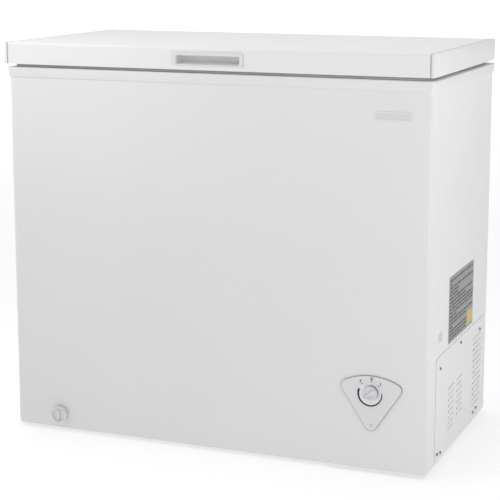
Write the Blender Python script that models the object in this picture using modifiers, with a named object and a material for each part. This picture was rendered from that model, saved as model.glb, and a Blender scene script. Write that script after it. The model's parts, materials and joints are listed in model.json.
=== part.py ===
"""Chest freezer, modelled as the assembly that it is: sheet-metal cabinet, foam, liner, lid, cooling circuit.

Metres, +Z up. The front faces -Y and the machine compartment is at the +X end.
The origin is on the floor, under the middle of the overall box.
"""

import math

import bmesh
import bpy
from mathutils import Matrix, Vector

# ---- driving dimensions -------------------------------------------------------------
OVERALL_D = 0.523  # knob face to hinge back
OVERALL_H = 0.850  # floor to lid top
CABINET_W = 0.934
CABINET_D = 0.491
LID_W = 0.944
LID_D = 0.500
LID_SKIRT = 0.046  # height of the lid's painted edge
FOOT_H = 0.008  # cabinet bottom above the floor

GAP = 0.0003  # clearance kept between touching pieces
SHEET = 0.0008  # outer steel
LINER_SHEET = 0.001
WALL = 0.052  # cabinet outside to liner outside

# ---- derived levels and faces -------------------------------------------------------
CAB_X = CABINET_W / 2
CAB_Y = CABINET_D / 2
IN_X = CAB_X - SHEET  # inside faces of the outer steel
IN_Y = CAB_Y - SHEET
LID_X = LID_W / 2
LID_FRONT = -CAB_Y - 0.010
LID_BACK = LID_FRONT + LID_D
LID_TOP = OVERALL_H
LID_BOTTOM = LID_TOP - LID_SKIRT
END_CAP_W = 0.0095  # moulded strips that close the lid's two ends
END_SEAM = 0.0010  # open seam between the lid's sheet and each strip

COLLAR_TOP = LID_BOTTOM - 0.007
COLLAR_H = 0.021
COLLAR_PROUD = 0.004
COLLAR_PLATE = 0.003
SHELL_TOP = COLLAR_TOP - COLLAR_PLATE - 2 * GAP  # top of steel, foam and liner, under the collar

LINER_X = CAB_X - WALL
LINER_Y = CAB_Y - WALL
LINER_FLOOR = 0.070
HUMP_X = 0.215  # where the liner steps up over the compressor
HUMP_TOP = 0.272
LEDGE_TOP = COLLAR_TOP - 0.012  # the basket's rim rests here
LEDGE_W = 0.008

BAY_X = 0.262  # machine compartment: its inner wall and its ceiling
BAY_TOP = 0.228
FLOOR_PLATE = 0.0015

EVAPORATOR_LEVELS = [0.320 + 0.105 * i for i in range(5)]
EVAPORATOR_R = 0.004
EVAPORATOR_X = LINER_X + GAP + EVAPORATOR_R + 0.0007  # tube middle, against the liner
EVAPORATOR_Y = LINER_Y + GAP + EVAPORATOR_R + 0.0007
INLET_X, INLET_Z = 0.298, 0.288  # riser from the machine bay, and its run along the back
SUCTION_X, SUCTION_Y = 0.326, LINER_Y + 0.0158
CONDENSER_LEVELS = [0.100 + 0.118 * i for i in range(6)]
CONDENSER_R = 0.0024
CONDENSER_Y = IN_Y - GAP - CONDENSER_R - 0.0004  # tube middle, against the outer steel
CONDENSER_X = IN_X - GAP - CONDENSER_R - 0.0004
CONDENSER_TURN_X = 0.246
RETURN_X = 0.3005  # where the top run comes down into the machine bay

HINGE_Y = CAB_Y + 0.0085
HINGE_Z = LID_BOTTOM + 0.002
HINGE_XS = {"left": -0.330, "right": 0.330}
HINGE_BACK = OVERALL_D / 2
PIN_R = 0.003

VENT_Y = (-0.182, 0.222)  # compressor cover on the right-hand side
VENT_Z = (0.014, 0.232)
VENT_BANKS = (  # (first y, last y, lowest slot, slots)
    (-0.080, -0.038, 0.0535, 8),
    (-0.010, 0.032, 0.0670, 7),
    (0.131, 0.198, 0.0440, 13),
)
SLOT_PITCH = 0.0127
SLOT_H = 0.0036
VENT_SCREWS = (  # (y, z)
    (-0.1525, 0.2060),
    (0.0145, 0.2190),
    (0.1855, 0.2070),
    (-0.1665, 0.0280),
    (-0.1415, 0.0240),
    (0.1385, 0.0270),
    (0.1655, 0.0300),
)
SCREW_HOLE_R = 0.0022

PANEL_X = 0.3515  # control panel: a rounded, upside-down triangle
PANEL_T = 0.0025
PANEL_CORNER = (0.050, 0.1784, 0.013)  # upper corners: offset from the middle, height, radius
PANEL_TIP = (0.1026, 0.0125)  # lower corner: height, radius
PANEL_CROWN_R = 0.128
KNOB_X, KNOB_Z, KNOB_R = 0.3525, 0.1695, 0.0145
KNOB_POINTS_AT = math.radians(233.7)  # clockwise from OFF at the top, as the front is seen
LAMP_Z = 0.1005

DRAIN_X, DRAIN_Z = -0.361, 0.0387
DRAIN_Y = -0.165  # where the floor of the liner drains
SPOUT_R = 0.009

HANDLE_W, HANDLE_H = 0.157, 0.029
HANDLE_Z = 0.8268
RECESS_W = 0.139
RECESS_Z = (0.8154, 0.8332)
RECESS_DEPTH = 0.020
RECESS_RISE = 0.004  # floor and roof of the recess climb towards the rear

BADGE_X, BADGE_Z, BADGE_W, BADGE_H = 0.3868, 0.7267, 0.074, 0.018
LABEL_Y, LABEL_Z = (-0.0885, 0.1145), (0.2398, 0.3805)

BASKET_X = (0.160, 0.395)
BASKET_Y = 0.172
BASKET_Z = (0.575, LEDGE_TOP + 0.005)
BASKET_T = 0.003

FOOT_X, FOOT_Y = 0.400, 0.190
COMPRESSOR = Vector((0.362, 0.030, 0.0))
LUG_X, LUG_Y = 0.048, 0.085  # compressor mounting feet, from its middle

X, Y, Z = 0, 1, 2


# ---- scene and materials ------------------------------------------------------------
def clear_scene():
    for obj in list(bpy.data.objects):
        bpy.data.objects.remove(obj, do_unlink=True)


def collection(name):
    made = bpy.data.collections.new(name)
    bpy.context.scene.collection.children.link(made)
    return made


def material(name, colour, roughness, metallic=0.0):
    made = bpy.data.materials.new(name)
    made.use_nodes = True
    shader = made.node_tree.nodes["Principled BSDF"]
    shader.inputs["Base Color"].default_value = (*colour, 1.0)
    shader.inputs["Roughness"].default_value = roughness
    shader.inputs["Metallic"].default_value = metallic
    made.diffuse_color = (*colour, 1.0)
    return made


clear_scene()
PARTS = collection("chest_freezer")
CUTTERS = collection("cutters")

WHITE_STEEL = material("white_steel", (0.80, 0.80, 0.80), 0.35)
GREY_STEEL = material("galvanised_steel", (0.55, 0.56, 0.58), 0.45, 1.0)
BLACK_STEEL = material("black_steel", (0.03, 0.03, 0.03), 0.45)
WHITE_PLASTIC = material("white_plastic", (0.80, 0.80, 0.80), 0.45)
GREY_PLASTIC = material("grey_plastic", (0.62, 0.63, 0.64), 0.40)
BLACK_PLASTIC = material("black_plastic", (0.04, 0.04, 0.04), 0.50)
ALUMINIUM = material("liner_aluminium", (0.78, 0.78, 0.79), 0.40, 1.0)
FOAM = material("foam", (0.86, 0.79, 0.58), 0.95)
VINYL = material("gasket_vinyl", (0.74, 0.74, 0.73), 0.60)
RUBBER = material("black_rubber", (0.05, 0.05, 0.05), 0.85)
COPPER = material("copper", (0.80, 0.43, 0.28), 0.30, 1.0)
LAMP_LENS = material("lamp_lens", (0.75, 0.80, 0.76), 0.20)
LABEL_FOIL = material("label_foil", (0.42, 0.43, 0.44), 0.35, 0.3)
COATED_WIRE = material("coated_wire", (0.82, 0.82, 0.82), 0.40)


# ---- modelling tools ----------------------------------------------------------------
def finish(name, bm, mat, closed=True):
    """The bmesh as an object in the parts collection."""
    if closed:
        bmesh.ops.recalc_face_normals(bm, faces=bm.faces)
    mesh = bpy.data.meshes.new(name)
    bm.to_mesh(mesh)
    bm.free()
    mesh.shade_smooth()
    mesh.set_sharp_from_angle(angle=math.radians(40))
    if mat:
        mesh.materials.append(mat)
    obj = bpy.data.objects.new(name, mesh)
    PARTS.objects.link(obj)
    return obj


def round_edges(bm, axis, radius, segments, keep=lambda middle: True):
    """Rounds the edges that run along an axis, where keep says so of the edge's middle."""
    edges = []
    for edge in bm.edges:
        a, b = edge.verts[0].co, edge.verts[1].co
        if abs((b - a).normalized()[axis]) > 0.99 and keep((a + b) / 2):
            edges.append(edge)
    bmesh.ops.bevel(
        bm, geom=edges, offset=radius, segments=segments, profile=0.5, affect="EDGES"
    )


def box_mesh(low, high, axis=None, radius=0.0, segments=3):
    """A cube stretched between two corners, with the edges along one axis rounded if asked."""
    low, high = Vector(low), Vector(high)
    bm = bmesh.new()
    bmesh.ops.create_cube(bm, size=1.0)
    bmesh.ops.scale(bm, vec=high - low, verts=bm.verts)
    bmesh.ops.translate(bm, vec=(high + low) / 2, verts=bm.verts)
    if axis is not None:
        round_edges(bm, axis, radius, segments)
    return bm


def box(name, low, high, mat=None, axis=None, radius=0.0, segments=3):
    return finish(name, box_mesh(low, high, axis, radius, segments), mat)


def open_box_mesh(low, high, open_faces):
    """A box surface without the faces whose outward directions are named, such as '+Z'."""
    bm = box_mesh(low, high)
    bmesh.ops.recalc_face_normals(bm, faces=bm.faces)
    gone = []
    for face in bm.faces:
        for name in open_faces:
            sign = 1 if name[0] == "+" else -1
            if sign * face.normal["XYZ".index(name[1])] > 0.9:
                gone.append(face)
    bmesh.ops.delete(bm, geom=gone, context="FACES")
    return bm


def cylinder(name, centre, radius, length, axis, mat=None, segments=16):
    bm = bmesh.new()
    bmesh.ops.create_cone(
        bm, cap_ends=True, segments=segments, radius1=radius, radius2=radius, depth=length
    )
    turn = {X: Matrix.Rotation(math.pi / 2, 3, "Y"), Y: Matrix.Rotation(math.pi / 2, 3, "X")}
    if axis in turn:
        bmesh.ops.rotate(bm, verts=bm.verts, matrix=turn[axis])
    bmesh.ops.translate(bm, vec=centre, verts=bm.verts)
    return finish(name, bm, mat)


def turned(name, profile, location, mat, steps=24, facing="up", closed=False):
    """A Screw of (radius, height) points, outer side top to bottom. Heights run up, or out of the front."""
    mesh = bpy.data.meshes.new(name)
    ends = [(i, i + 1) for i in range(len(profile) - 1)]
    if closed:
        ends.append((len(profile) - 1, 0))
    mesh.from_pydata([(r, 0.0, h) for r, h in profile], ends, [])
    mesh.materials.append(mat)
    obj = bpy.data.objects.new(name, mesh)
    PARTS.objects.link(obj)
    obj.location = location
    if facing == "front":
        obj.rotation_euler = (math.pi / 2, 0.0, 0.0)
    screw = obj.modifiers.new("turn", "SCREW")
    screw.steps = screw.render_steps = steps
    screw.use_merge_vertices = True
    screw.merge_threshold = 0.00001
    return obj


def tube(name, points, radius, mat, resolution=1):
    """A solid bar or pipe along straight runs between the points."""
    curve = bpy.data.curves.new(name, "CURVE")
    curve.dimensions = "3D"
    curve.bevel_depth = radius
    curve.bevel_resolution = resolution
    curve.use_fill_caps = True
    spline = curve.splines.new("POLY")
    spline.points.add(len(points) - 1)
    for point, place in zip(spline.points, points):
        point.co = (*place, 1.0)
    curve.materials.append(mat)
    obj = bpy.data.objects.new(name, curve)
    PARTS.objects.link(obj)
    return obj


def as_mesh(obj, weld=0.00001):
    """Replaces a curve object by its evaluated mesh, with the caps welded on."""
    graph = bpy.context.evaluated_depsgraph_get()
    mesh = bpy.data.meshes.new_from_object(obj.evaluated_get(graph))
    bm = bmesh.new()
    bm.from_mesh(mesh)
    bmesh.ops.remove_doubles(bm, verts=bm.verts, dist=weld)
    bm.to_mesh(mesh)
    bm.free()
    mesh.shade_smooth()
    mesh.set_sharp_from_angle(angle=math.radians(40))
    name, place, data = obj.name, obj.matrix_world.copy(), obj.data
    bpy.data.objects.remove(obj)
    bpy.data.curves.remove(data)
    made = bpy.data.objects.new(name, mesh)
    PARTS.objects.link(made)
    made.matrix_world = place
    return made


def plate(name, outlines, thickness, location, mat, stands="flat"):
    """A flat outline, with any holes as further outlines, as a plate that lies flat or faces front or side."""
    curve = bpy.data.curves.new(name, "CURVE")
    curve.dimensions = "2D"
    curve.fill_mode = "BOTH"
    curve.extrude = thickness / 2
    for outline in outlines:
        spline = curve.splines.new("POLY")
        spline.points.add(len(outline) - 1)
        spline.use_cyclic_u = True
        for point, (u, v) in zip(spline.points, outline):
            point.co = (u, v, 0.0, 1.0)
    if mat:
        curve.materials.append(mat)
    obj = bpy.data.objects.new(name, curve)
    PARTS.objects.link(obj)
    obj.location = location
    if stands == "front":
        obj.rotation_euler = (math.pi / 2, 0.0, 0.0)
    if stands == "side":
        obj.rotation_euler = (math.pi / 2, 0.0, math.pi / 2)
    bpy.context.view_layer.update()
    return as_mesh(obj)


def arc(cx, cy, radius, start, end, steps):
    """Points of an arc from one angle to another, in degrees."""
    turns = [math.radians(start + (end - start) * i / steps) for i in range(steps + 1)]
    return [(cx + radius * math.cos(a), cy + radius * math.sin(a)) for a in turns]


def rounded_rectangle(half_x, half_y, radius, steps=3):
    corners = ((1, 1, 0), (-1, 1, 90), (-1, -1, 180), (1, -1, 270))
    points = []
    for sx, sy, start in corners:
        centre = (sx * (half_x - radius), sy * (half_y - radius))
        points += arc(*centre, radius, start, start + 90, steps)
    return points


def solidify(obj, thickness, inward=True):
    made = obj.modifiers.new("sheet", "SOLIDIFY")
    made.thickness = thickness
    made.offset = -1.0 if inward else 1.0
    made.use_even_offset = True
    made.use_quality_normals = True
    return obj


def hide(obj):
    """Makes an object a cutter: out of the render, drawn as wire, in the cutters collection."""
    PARTS.objects.unlink(obj)
    CUTTERS.objects.link(obj)
    obj.hide_render = True
    obj.display_type = "WIRE"
    return obj


def boolean(obj, other, operation="DIFFERENCE"):
    """Cuts another object out of this one, or joins it on. The other becomes a cutter."""
    if other.name not in CUTTERS.objects:
        hide(other)
    made = obj.modifiers.new(other.name, "BOOLEAN")
    made.operation = operation
    made.object = other
    made.solver = "EXACT"
    return obj


def joined_meshes(name, meshes):
    """Several separate shapes as one object, for a cutter that cuts them all at once."""
    whole = bmesh.new()
    for bm in meshes:
        bmesh.ops.recalc_face_normals(bm, faces=bm.faces)
        piece = bpy.data.meshes.new(name)
        bm.to_mesh(piece)
        bm.free()
        whole.from_mesh(piece)
        bpy.data.meshes.remove(piece)
    return finish(name, whole, None)


def cylinder_mesh(centre, radius, length, axis, segments=12):
    obj = cylinder("shape", centre, radius, length, axis, None, segments)
    bm = bmesh.new()
    bm.from_mesh(obj.data)
    mesh = obj.data
    bpy.data.objects.remove(obj)
    bpy.data.meshes.remove(mesh)
    return bm


def pivot(name, place):
    """An empty on a joint's axis, which the moving pieces are parented to."""
    made = bpy.data.objects.new(name, None)
    PARTS.objects.link(made)
    made.location = place
    bpy.context.view_layer.update()
    return made


def carry(empty, *pieces):
    for piece in pieces:
        piece.parent = empty
        piece.matrix_parent_inverse = empty.matrix_world.inverted()


# ---- cabinet ------------------------------------------------------------------------
def cabinet_wrap():
    """Front and both sides in one bent sheet, open at the back, top and bottom."""
    bm = open_box_mesh(
        (-CAB_X, -CAB_Y, FOOT_H), (CAB_X, IN_Y - GAP, SHELL_TOP), ("+Z", "-Z", "+Y")
    )
    round_edges(bm, Z, 0.009, 4, lambda middle: middle.y < 0)
    wrap = solidify(finish("cabinet_wrap", bm, WHITE_STEEL, closed=False), SHEET)
    front_holes = [
        cylinder_mesh((KNOB_X, -CAB_Y, KNOB_Z), 0.0045, 0.02, Y),
        cylinder_mesh((PANEL_X, -CAB_Y, LAMP_Z), 0.0031, 0.02, Y),
        cylinder_mesh((DRAIN_X, -CAB_Y, DRAIN_Z), 0.0115, 0.02, Y, 20),
    ]
    boolean(wrap, joined_meshes("front_holes", front_holes))
    side_holes = [box_mesh((CAB_X - 0.01, -0.128, 0.038), (CAB_X + 0.01, 0.208, 0.2005))]
    for y, z in VENT_SCREWS:
        side_holes.append(cylinder_mesh((CAB_X, y, z), SCREW_HOLE_R, 0.01, X, 8))
    return boolean(wrap, joined_meshes("side_holes", side_holes))


def back_panel():
    """Flat rear sheet, with the hole for the mains lead's gland."""
    panel = box(
        "back_panel",
        (-CAB_X, IN_Y, FOOT_H),
        (CAB_X, CAB_Y, SHELL_TOP),
        WHITE_STEEL,
    )
    return boolean(panel, cylinder("gland_hole", (0.400, CAB_Y, 0.060), 0.0085, 0.01, Y))


def base_pan():
    """Bottom sheet under the foam, drilled for the two left feet."""
    pan = box(
        "base_pan",
        (-IN_X + GAP, -IN_Y + GAP, FOOT_H),
        (BAY_X - GAP, IN_Y - GAP, FOOT_H + SHEET),
        GREY_STEEL,
        axis=Z,
        radius=0.009,
    )
    holes = [cylinder_mesh((-FOOT_X, y, FOOT_H), 0.0045, 0.01, Z) for y in (-FOOT_Y, FOOT_Y)]
    return boolean(pan, joined_meshes("pan_holes", holes))


def machine_bay_sheet():
    """Floor, inner wall and ceiling of the machine compartment in one folded sheet, with its holes."""
    low = (BAY_X + 2 * GAP, -IN_Y + 0.009, FOOT_H)
    high = (IN_X - GAP, IN_Y - GAP, BAY_TOP - GAP)
    bm = open_box_mesh(low, high, ("+X", "-Y", "+Y"))
    sheet = solidify(finish("machine_bay_sheet", bm, GREY_STEEL, closed=False), FLOOR_PLATE)
    floor = [cylinder_mesh((FOOT_X, y, FOOT_H), 0.0045, 0.01, Z) for y in (-FOOT_Y, FOOT_Y)]
    for i in range(4):
        x = 0.290 + 0.020 * i
        floor.append(box_mesh((x, -0.190, 0.0), (x + 0.006, -0.110, 0.012)))
    boolean(sheet, joined_meshes("floor_holes", floor))
    ceiling = [
        cylinder_mesh((INLET_X, EVAPORATOR_Y, BAY_TOP), 0.0052, 0.02, Z),
        cylinder_mesh((SUCTION_X, SUCTION_Y, BAY_TOP), 0.0048, 0.02, Z),
        cylinder_mesh((RETURN_X, CONDENSER_Y - 0.0006, BAY_TOP), 0.0032, 0.02, Z),
        cylinder_mesh((0.3400, -0.1955, BAY_TOP), 0.0030, 0.02, Z),
        cylinder_mesh((BAY_X, CONDENSER_Y - 0.0006, CONDENSER_LEVELS[0]), 0.0032, 0.02, X),
    ]
    return boolean(sheet, joined_meshes("tube_holes", ceiling))


def slab(low, high):
    """A box-shaped cutter, to be cut on its own."""
    return finish("channel", box_mesh(low, high), None)


def liner_side_voids():
    """What the foam is poured round on its inside: liner, machine bay, evaporator and drain."""
    x, y, far = LINER_X + GAP, LINER_Y + GAP, 0.6
    groove = 2 * EVAPORATOR_R + 0.0010
    half = groove / 2
    low, high = EVAPORATOR_LEVELS[0], EVAPORATOR_LEVELS[-1]
    yield slab((-x, -y, LINER_FLOOR - GAP), (HUMP_X + GAP, y, 1.0))
    yield slab((0.100, -y, HUMP_TOP - GAP), (x, y, 1.0))
    yield slab((BAY_X, -far, -0.1), (far, far, BAY_TOP))
    rings = [
        box_mesh((-x - groove, -y - groove, z - half), (x + groove, y + groove, z + half))
        for z in EVAPORATOR_LEVELS
    ]
    yield joined_meshes("evaporator_grooves", rings)
    yield slab((-0.046, y - 0.01, INLET_Z - half), (0.046, y + groove, high))
    yield slab((0.0, y - 0.01, INLET_Z - half), (INLET_X + 0.006, y + groove, INLET_Z + half))
    yield slab((INLET_X - 0.018, y - 0.01, BAY_TOP - 0.01), (INLET_X + 0.006, y + groove, INLET_Z))
    yield slab((SUCTION_X - 0.006, y - 0.01, BAY_TOP - 0.01), (0.348, y + 0.0210, high + half))
    yield slab((SUCTION_X, y - 0.01, high - half), (0.380, y + 0.0210, high + half))
    yield slab((0.3350, -y - 0.0060, BAY_TOP - 0.01), (0.3450, -y + 0.01, 0.3080))
    yield cylinder("sleeve_channel", (DRAIN_X, -CAB_Y + 0.029, DRAIN_Z), 0.0112, 0.060, Y)
    yield cylinder("elbow_channel", (DRAIN_X, -0.176, DRAIN_Z), 0.0100, 0.036, Y)
    yield cylinder("drain_channel", (DRAIN_X, DRAIN_Y, 0.052), 0.0102, 0.050, Z)
    yield slab((DRAIN_X - 0.0095, -0.186, 0.036), (DRAIN_X + 0.0095, DRAIN_Y, 0.062))
    studs = [cylinder_mesh((-FOOT_X, y, FOOT_H), 0.0060, 0.032, Z) for y in (-FOOT_Y, FOOT_Y)]
    yield joined_meshes("stud_pockets", studs)


def steel_side_voids():
    """Square channels in the foam's outside, where the condenser lies against the steel."""
    depth = 2 * CONDENSER_R + 0.0012
    half = depth / 2
    x, y, far = IN_X - GAP - depth, IN_Y - GAP - depth, 0.6
    turn = CONDENSER_TURN_X
    levels = CONDENSER_LEVELS

    def rows(low, high):
        return [box_mesh((*low, z - half), (*high, z + half)) for z in levels]

    yield joined_meshes("rear_channels", rows((-far, y), (turn + 0.006, far)))
    yield joined_meshes("front_channels", rows((-far, -far), (turn + 0.006, -y)))
    yield joined_meshes("end_channels", rows((-far, -far), (-x, far)))
    yield joined_meshes("rear_bends", rows((-far, y - 0.010), (-x + 0.010, far)))
    yield joined_meshes("front_bends", rows((-far, -far), (-x + 0.010, -y + 0.010)))
    turns = []
    for i, z in enumerate(levels[:-1]):
        near, away = ((-far, -y), (y, far))[i % 2]
        turns.append(box_mesh((turn - 0.018, near, z), (turn + 0.006, away, levels[i + 1])))
    yield joined_meshes("turn_channels", turns)
    yield slab((turn, y, levels[0] - half), (BAY_X + 0.01, far, levels[0] + half))
    yield slab((turn, y, levels[-1] - half), (RETURN_X + 0.004, far, levels[-1] + half))
    yield slab((RETURN_X - 0.018, y, BAY_TOP - 0.01), (RETURN_X + 0.004, far, levels[-1]))


def cabinet_foam():
    """The insulation, one pour between liner and steel."""
    foam = box(
        "cabinet_foam",
        (-IN_X + GAP, -IN_Y + GAP, FOOT_H + SHEET + GAP),
        (IN_X - GAP, IN_Y - GAP, SHELL_TOP),
        FOAM,
        axis=Z,
        radius=0.010,
    )
    for cutter in [*liner_side_voids(), *steel_side_voids()]:
        boolean(foam, cutter)
    return foam


def inner_liner():
    """Embossed aluminium tub with its step over the compressor, open at the top."""
    outline = [
        (-LINER_X, SHELL_TOP),
        (-LINER_X, LINER_FLOOR),
        (HUMP_X, LINER_FLOOR),
        (HUMP_X, HUMP_TOP),
        (LINER_X, HUMP_TOP),
        (LINER_X, SHELL_TOP),
    ]
    bm = bmesh.new()
    face = bm.faces.new([bm.verts.new((x, -LINER_Y, z)) for x, z in outline])
    grown = bmesh.ops.extrude_face_region(bm, geom=[face])["geom"]
    moved = [v for v in grown if isinstance(v, bmesh.types.BMVert)]
    bmesh.ops.translate(bm, vec=(0.0, 2 * LINER_Y, 0.0), verts=moved)
    bmesh.ops.recalc_face_normals(bm, faces=bm.faces)
    top = [f for f in bm.faces if f.normal.z > 0.9 and f.calc_center_median().z > HUMP_TOP + 0.1]
    bmesh.ops.delete(bm, geom=top, context="FACES")
    round_edges(bm, Z, 0.016, 4, lambda middle: abs(middle.x) > 0.3)
    liner = solidify(finish("inner_liner", bm, ALUMINIUM, closed=False), LINER_SHEET)
    hole = cylinder("floor_drain_hole", (DRAIN_X, DRAIN_Y, LINER_FLOOR), 0.010, 0.01, Z)
    return boolean(liner, hole)


def footprint(half_x, half_y, front_r, rear_r):
    """A rectangle with different roundings at front and rear."""
    points = []
    for sx, sy, start in ((1, 1, 0), (-1, 1, 90), (-1, -1, 180), (1, -1, 270)):
        radius = rear_r if sy > 0 else front_r
        centre = (sx * (half_x - radius), sy * (half_y - radius))
        points += arc(*centre, radius, start, start + 90, 4) if radius else [centre]
    return points


def top_collar():
    """Moulded frame that caps steel, foam and liner, with a ledge inside for the basket."""
    outer_x, outer_y = CAB_X + COLLAR_PROUD, CAB_Y + COLLAR_PROUD
    bm = box_mesh((-outer_x, -outer_y, COLLAR_TOP - COLLAR_H), (outer_x, outer_y, COLLAR_TOP))
    low = [v for v in bm.verts if v.co.z < COLLAR_TOP - 0.001]
    taper = 0.002
    bmesh.ops.scale(bm, vec=((outer_x - taper) / outer_x, (outer_y - taper) / outer_y, 1.0), verts=low)
    round_edges(bm, Z, 0.010, 4, lambda middle: middle.y < 0)
    collar = finish("top_collar", bm, WHITE_PLASTIC)
    mouth_x, mouth_y = LINER_X - 0.0045, LINER_Y - 0.0045
    inner_x, inner_y = mouth_x - LEDGE_W, mouth_y - LEDGE_W
    mouth = box("collar_mouth", (-inner_x, -inner_y, 0.7), (inner_x, inner_y, 1.0), axis=Z, radius=0.016)
    ledge_low, ledge_high = (-mouth_x, -mouth_y, LEDGE_TOP), (mouth_x, mouth_y, 1.0)
    boolean(collar, mouth)
    boolean(collar, box("collar_ledge", ledge_low, ledge_high, axis=Z, radius=0.020))
    seat = 0.0014  # the liner's sheet with a clearance on each side
    outlines = [
        footprint(CAB_X + 0.0004, CAB_Y + 0.0004, 0.0088, 0.0),
        footprint(LINER_X - seat, LINER_Y - seat, 0.0146, 0.0146),
    ]
    depth = 0.1
    middle = (0.0, 0.0, COLLAR_TOP - COLLAR_PLATE - depth / 2)
    channel = plate("collar_channel", outlines, depth, middle, None)
    return boolean(collar, channel)


def vent_cover():
    """Screwed-on side sheet over the machine compartment, with three banks of air slots."""
    face = CAB_X + GAP
    cover = box(
        "vent_cover",
        (face, VENT_Y[0], VENT_Z[0]),
        (face + SHEET, VENT_Y[1], VENT_Z[1]),
        WHITE_STEEL,
        axis=X,
        radius=0.004,
    )
    slots = []
    for start, end, lowest, count in VENT_BANKS:
        for i in range(count):
            z = lowest + SLOT_PITCH * i
            low, high = (face - 0.01, start, z - SLOT_H / 2), (face + 0.01, end, z + SLOT_H / 2)
            slots.append(box_mesh(low, high, axis=X, radius=SLOT_H * 0.45, segments=1))
    for y, z in VENT_SCREWS:
        slots.append(cylinder_mesh((face, y, z), SCREW_HOLE_R, 0.02, X, 8))
    return boolean(cover, joined_meshes("vent_slots", slots))


def vent_screws():
    """Self-tapping pan-head screws that hold the cover and the tray."""
    face = CAB_X + SHEET + 2 * GAP
    profile = [(0.0, 0.0022), (0.0022, 0.0018), (0.0036, 0.0), (0.0018, 0.0), (0.0018, -0.010), (0.0, -0.012)]
    for i, (y, z) in enumerate(VENT_SCREWS):
        screw = turned(f"vent_screw_{i + 1}", profile, (face, y, z), GREY_STEEL, steps=10)
        screw.rotation_euler = (0.0, math.pi / 2, 0.0)


def feet():
    """Fixed feet: a pad and the stud that is pressed into the base."""
    profile = [
        (0.0, 0.020),
        (0.0038, 0.020),
        (0.0038, 0.0068),
        (0.0130, 0.0068),
        (0.0160, 0.0030),
        (0.0160, 0.0),
        (0.0, 0.0),
    ]
    for side, x in (("left", -FOOT_X), ("right", FOOT_X)):
        for end, y in (("front", -FOOT_Y), ("rear", FOOT_Y)):
            turned(f"foot_{end}_{side}", profile, (x, y, 0.0), BLACK_PLASTIC, steps=16)


def power_cord_gland():
    """Strain-relief bush in the rear sheet, where the mains lead enters."""
    profile = [
        (0.0050, 0.0095),
        (0.0095, 0.0085),
        (0.0130, 0.0012),
        (0.0130, GAP),
        (0.0080, GAP),
        (0.0080, -0.0060),
        (0.0050, -0.0060),
    ]
    gland = turned("power_cord_gland", profile, (0.400, CAB_Y, 0.060), BLACK_PLASTIC, steps=16, closed=True)
    gland.rotation_euler = (-math.pi / 2, 0.0, 0.0)


def badge_and_label():
    """Blank name plate on the front and blank foil plate on the side."""
    front = -CAB_Y - GAP
    low = (BADGE_X - BADGE_W / 2, front - 0.0009, BADGE_Z - BADGE_H / 2)
    high = (BADGE_X + BADGE_W / 2, front, BADGE_Z + BADGE_H / 2)
    box("name_plate", low, high, GREY_PLASTIC, axis=Y, radius=0.0015)
    side = CAB_X + GAP
    box("rating_label", (side, LABEL_Y[0], LABEL_Z[0]), (side + 0.0004, LABEL_Y[1], LABEL_Z[1]), LABEL_FOIL)


# ---- controls -----------------------------------------------------------------------
def panel_outline():
    """Three round corners and a crowned top, tangent to one another."""
    offset, height, radius = PANEL_CORNER
    tip, tip_radius = PANEL_TIP
    side = math.degrees(math.atan2(-offset, -(height - tip)))  # outward normal of the left side
    reach = PANEL_CROWN_R - radius
    crown = math.degrees(math.acos(offset / reach))  # where crown and corner meet
    crown_centre = height - math.sqrt(reach**2 - offset**2)
    points = arc(0.0, crown_centre, PANEL_CROWN_R, crown, 180 - crown, 8)
    points += arc(-offset, height, radius, 180 - crown, 360 + side, 5)[1:]
    points += arc(0.0, tip, tip_radius, 360 + side, 540 - side - 360, 6)
    points += arc(offset, height, radius, 180 - side - 360, crown, 5)[:-1]
    return points


def control_panel():
    """Flat fascia with holes for the thermostat's shaft and the lamp."""
    back = -CAB_Y - GAP
    hole = arc(KNOB_X - PANEL_X, KNOB_Z, 0.0042, 0, 330, 11)
    lamp = arc(0.0, LAMP_Z, 0.0031, 0, 330, 11)
    place = (PANEL_X, back - PANEL_T / 2, 0.0)
    return plate("control_panel", [panel_outline(), hole, lamp], PANEL_T, place, GREY_PLASTIC, "front")


def thermostat():
    """Rotary thermostat: body behind the sheet, sensing tube up to the liner, knob on its shaft."""
    body_front = -CAB_Y + SHEET + 0.0016
    body_back = body_front + 0.030
    low = (KNOB_X - 0.022, body_front, KNOB_Z - 0.024)
    high = (KNOB_X + 0.022, body_back, KNOB_Z + 0.024)
    box("thermostat_body", low, high, GREY_STEEL, axis=Y, radius=0.004, segments=2)
    front = -OVERALL_D / 2
    back = -CAB_Y - PANEL_T - 2 * GAP
    length = back - front
    shaft = back - body_front + GAP
    profile = [
        (0.0, length),
        (KNOB_R - 0.0022, length),
        (KNOB_R - 0.0008, length - 0.0010),
        (KNOB_R, 0.0),
        (0.0030, 0.0),
        (0.0030, shaft),
        (0.0, shaft),
    ]
    place = Vector((KNOB_X, back, KNOB_Z))
    axis = pivot("thermostat_axis", place)
    knob = turned("thermostat_knob", profile, place, GREY_PLASTIC, steps=28, facing="front")
    nib_low, nib_high = (-0.0030, 0.004, 0.0006), (0.0030, 0.0185, length - 0.0035)
    nib = box("knob_pointer", nib_low, nib_high, axis=Z, radius=0.0024)
    turn = Matrix.Rotation(KNOB_POINTS_AT, 4, "Y")
    nib.matrix_world = Matrix.Translation(place) @ turn @ Matrix.Rotation(math.pi / 2, 4, "X")
    boolean(knob, nib, "UNION")
    carry(axis, knob)
    route = [
        (0.3400, body_back + 0.001, 0.1700),
        (0.3400, -0.2030, 0.1790),
        (0.3400, -0.1955, 0.2000),
        (0.3400, -0.1955, 0.3040),
    ]
    tube("thermostat_probe", route, 0.0015, COPPER)


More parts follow.
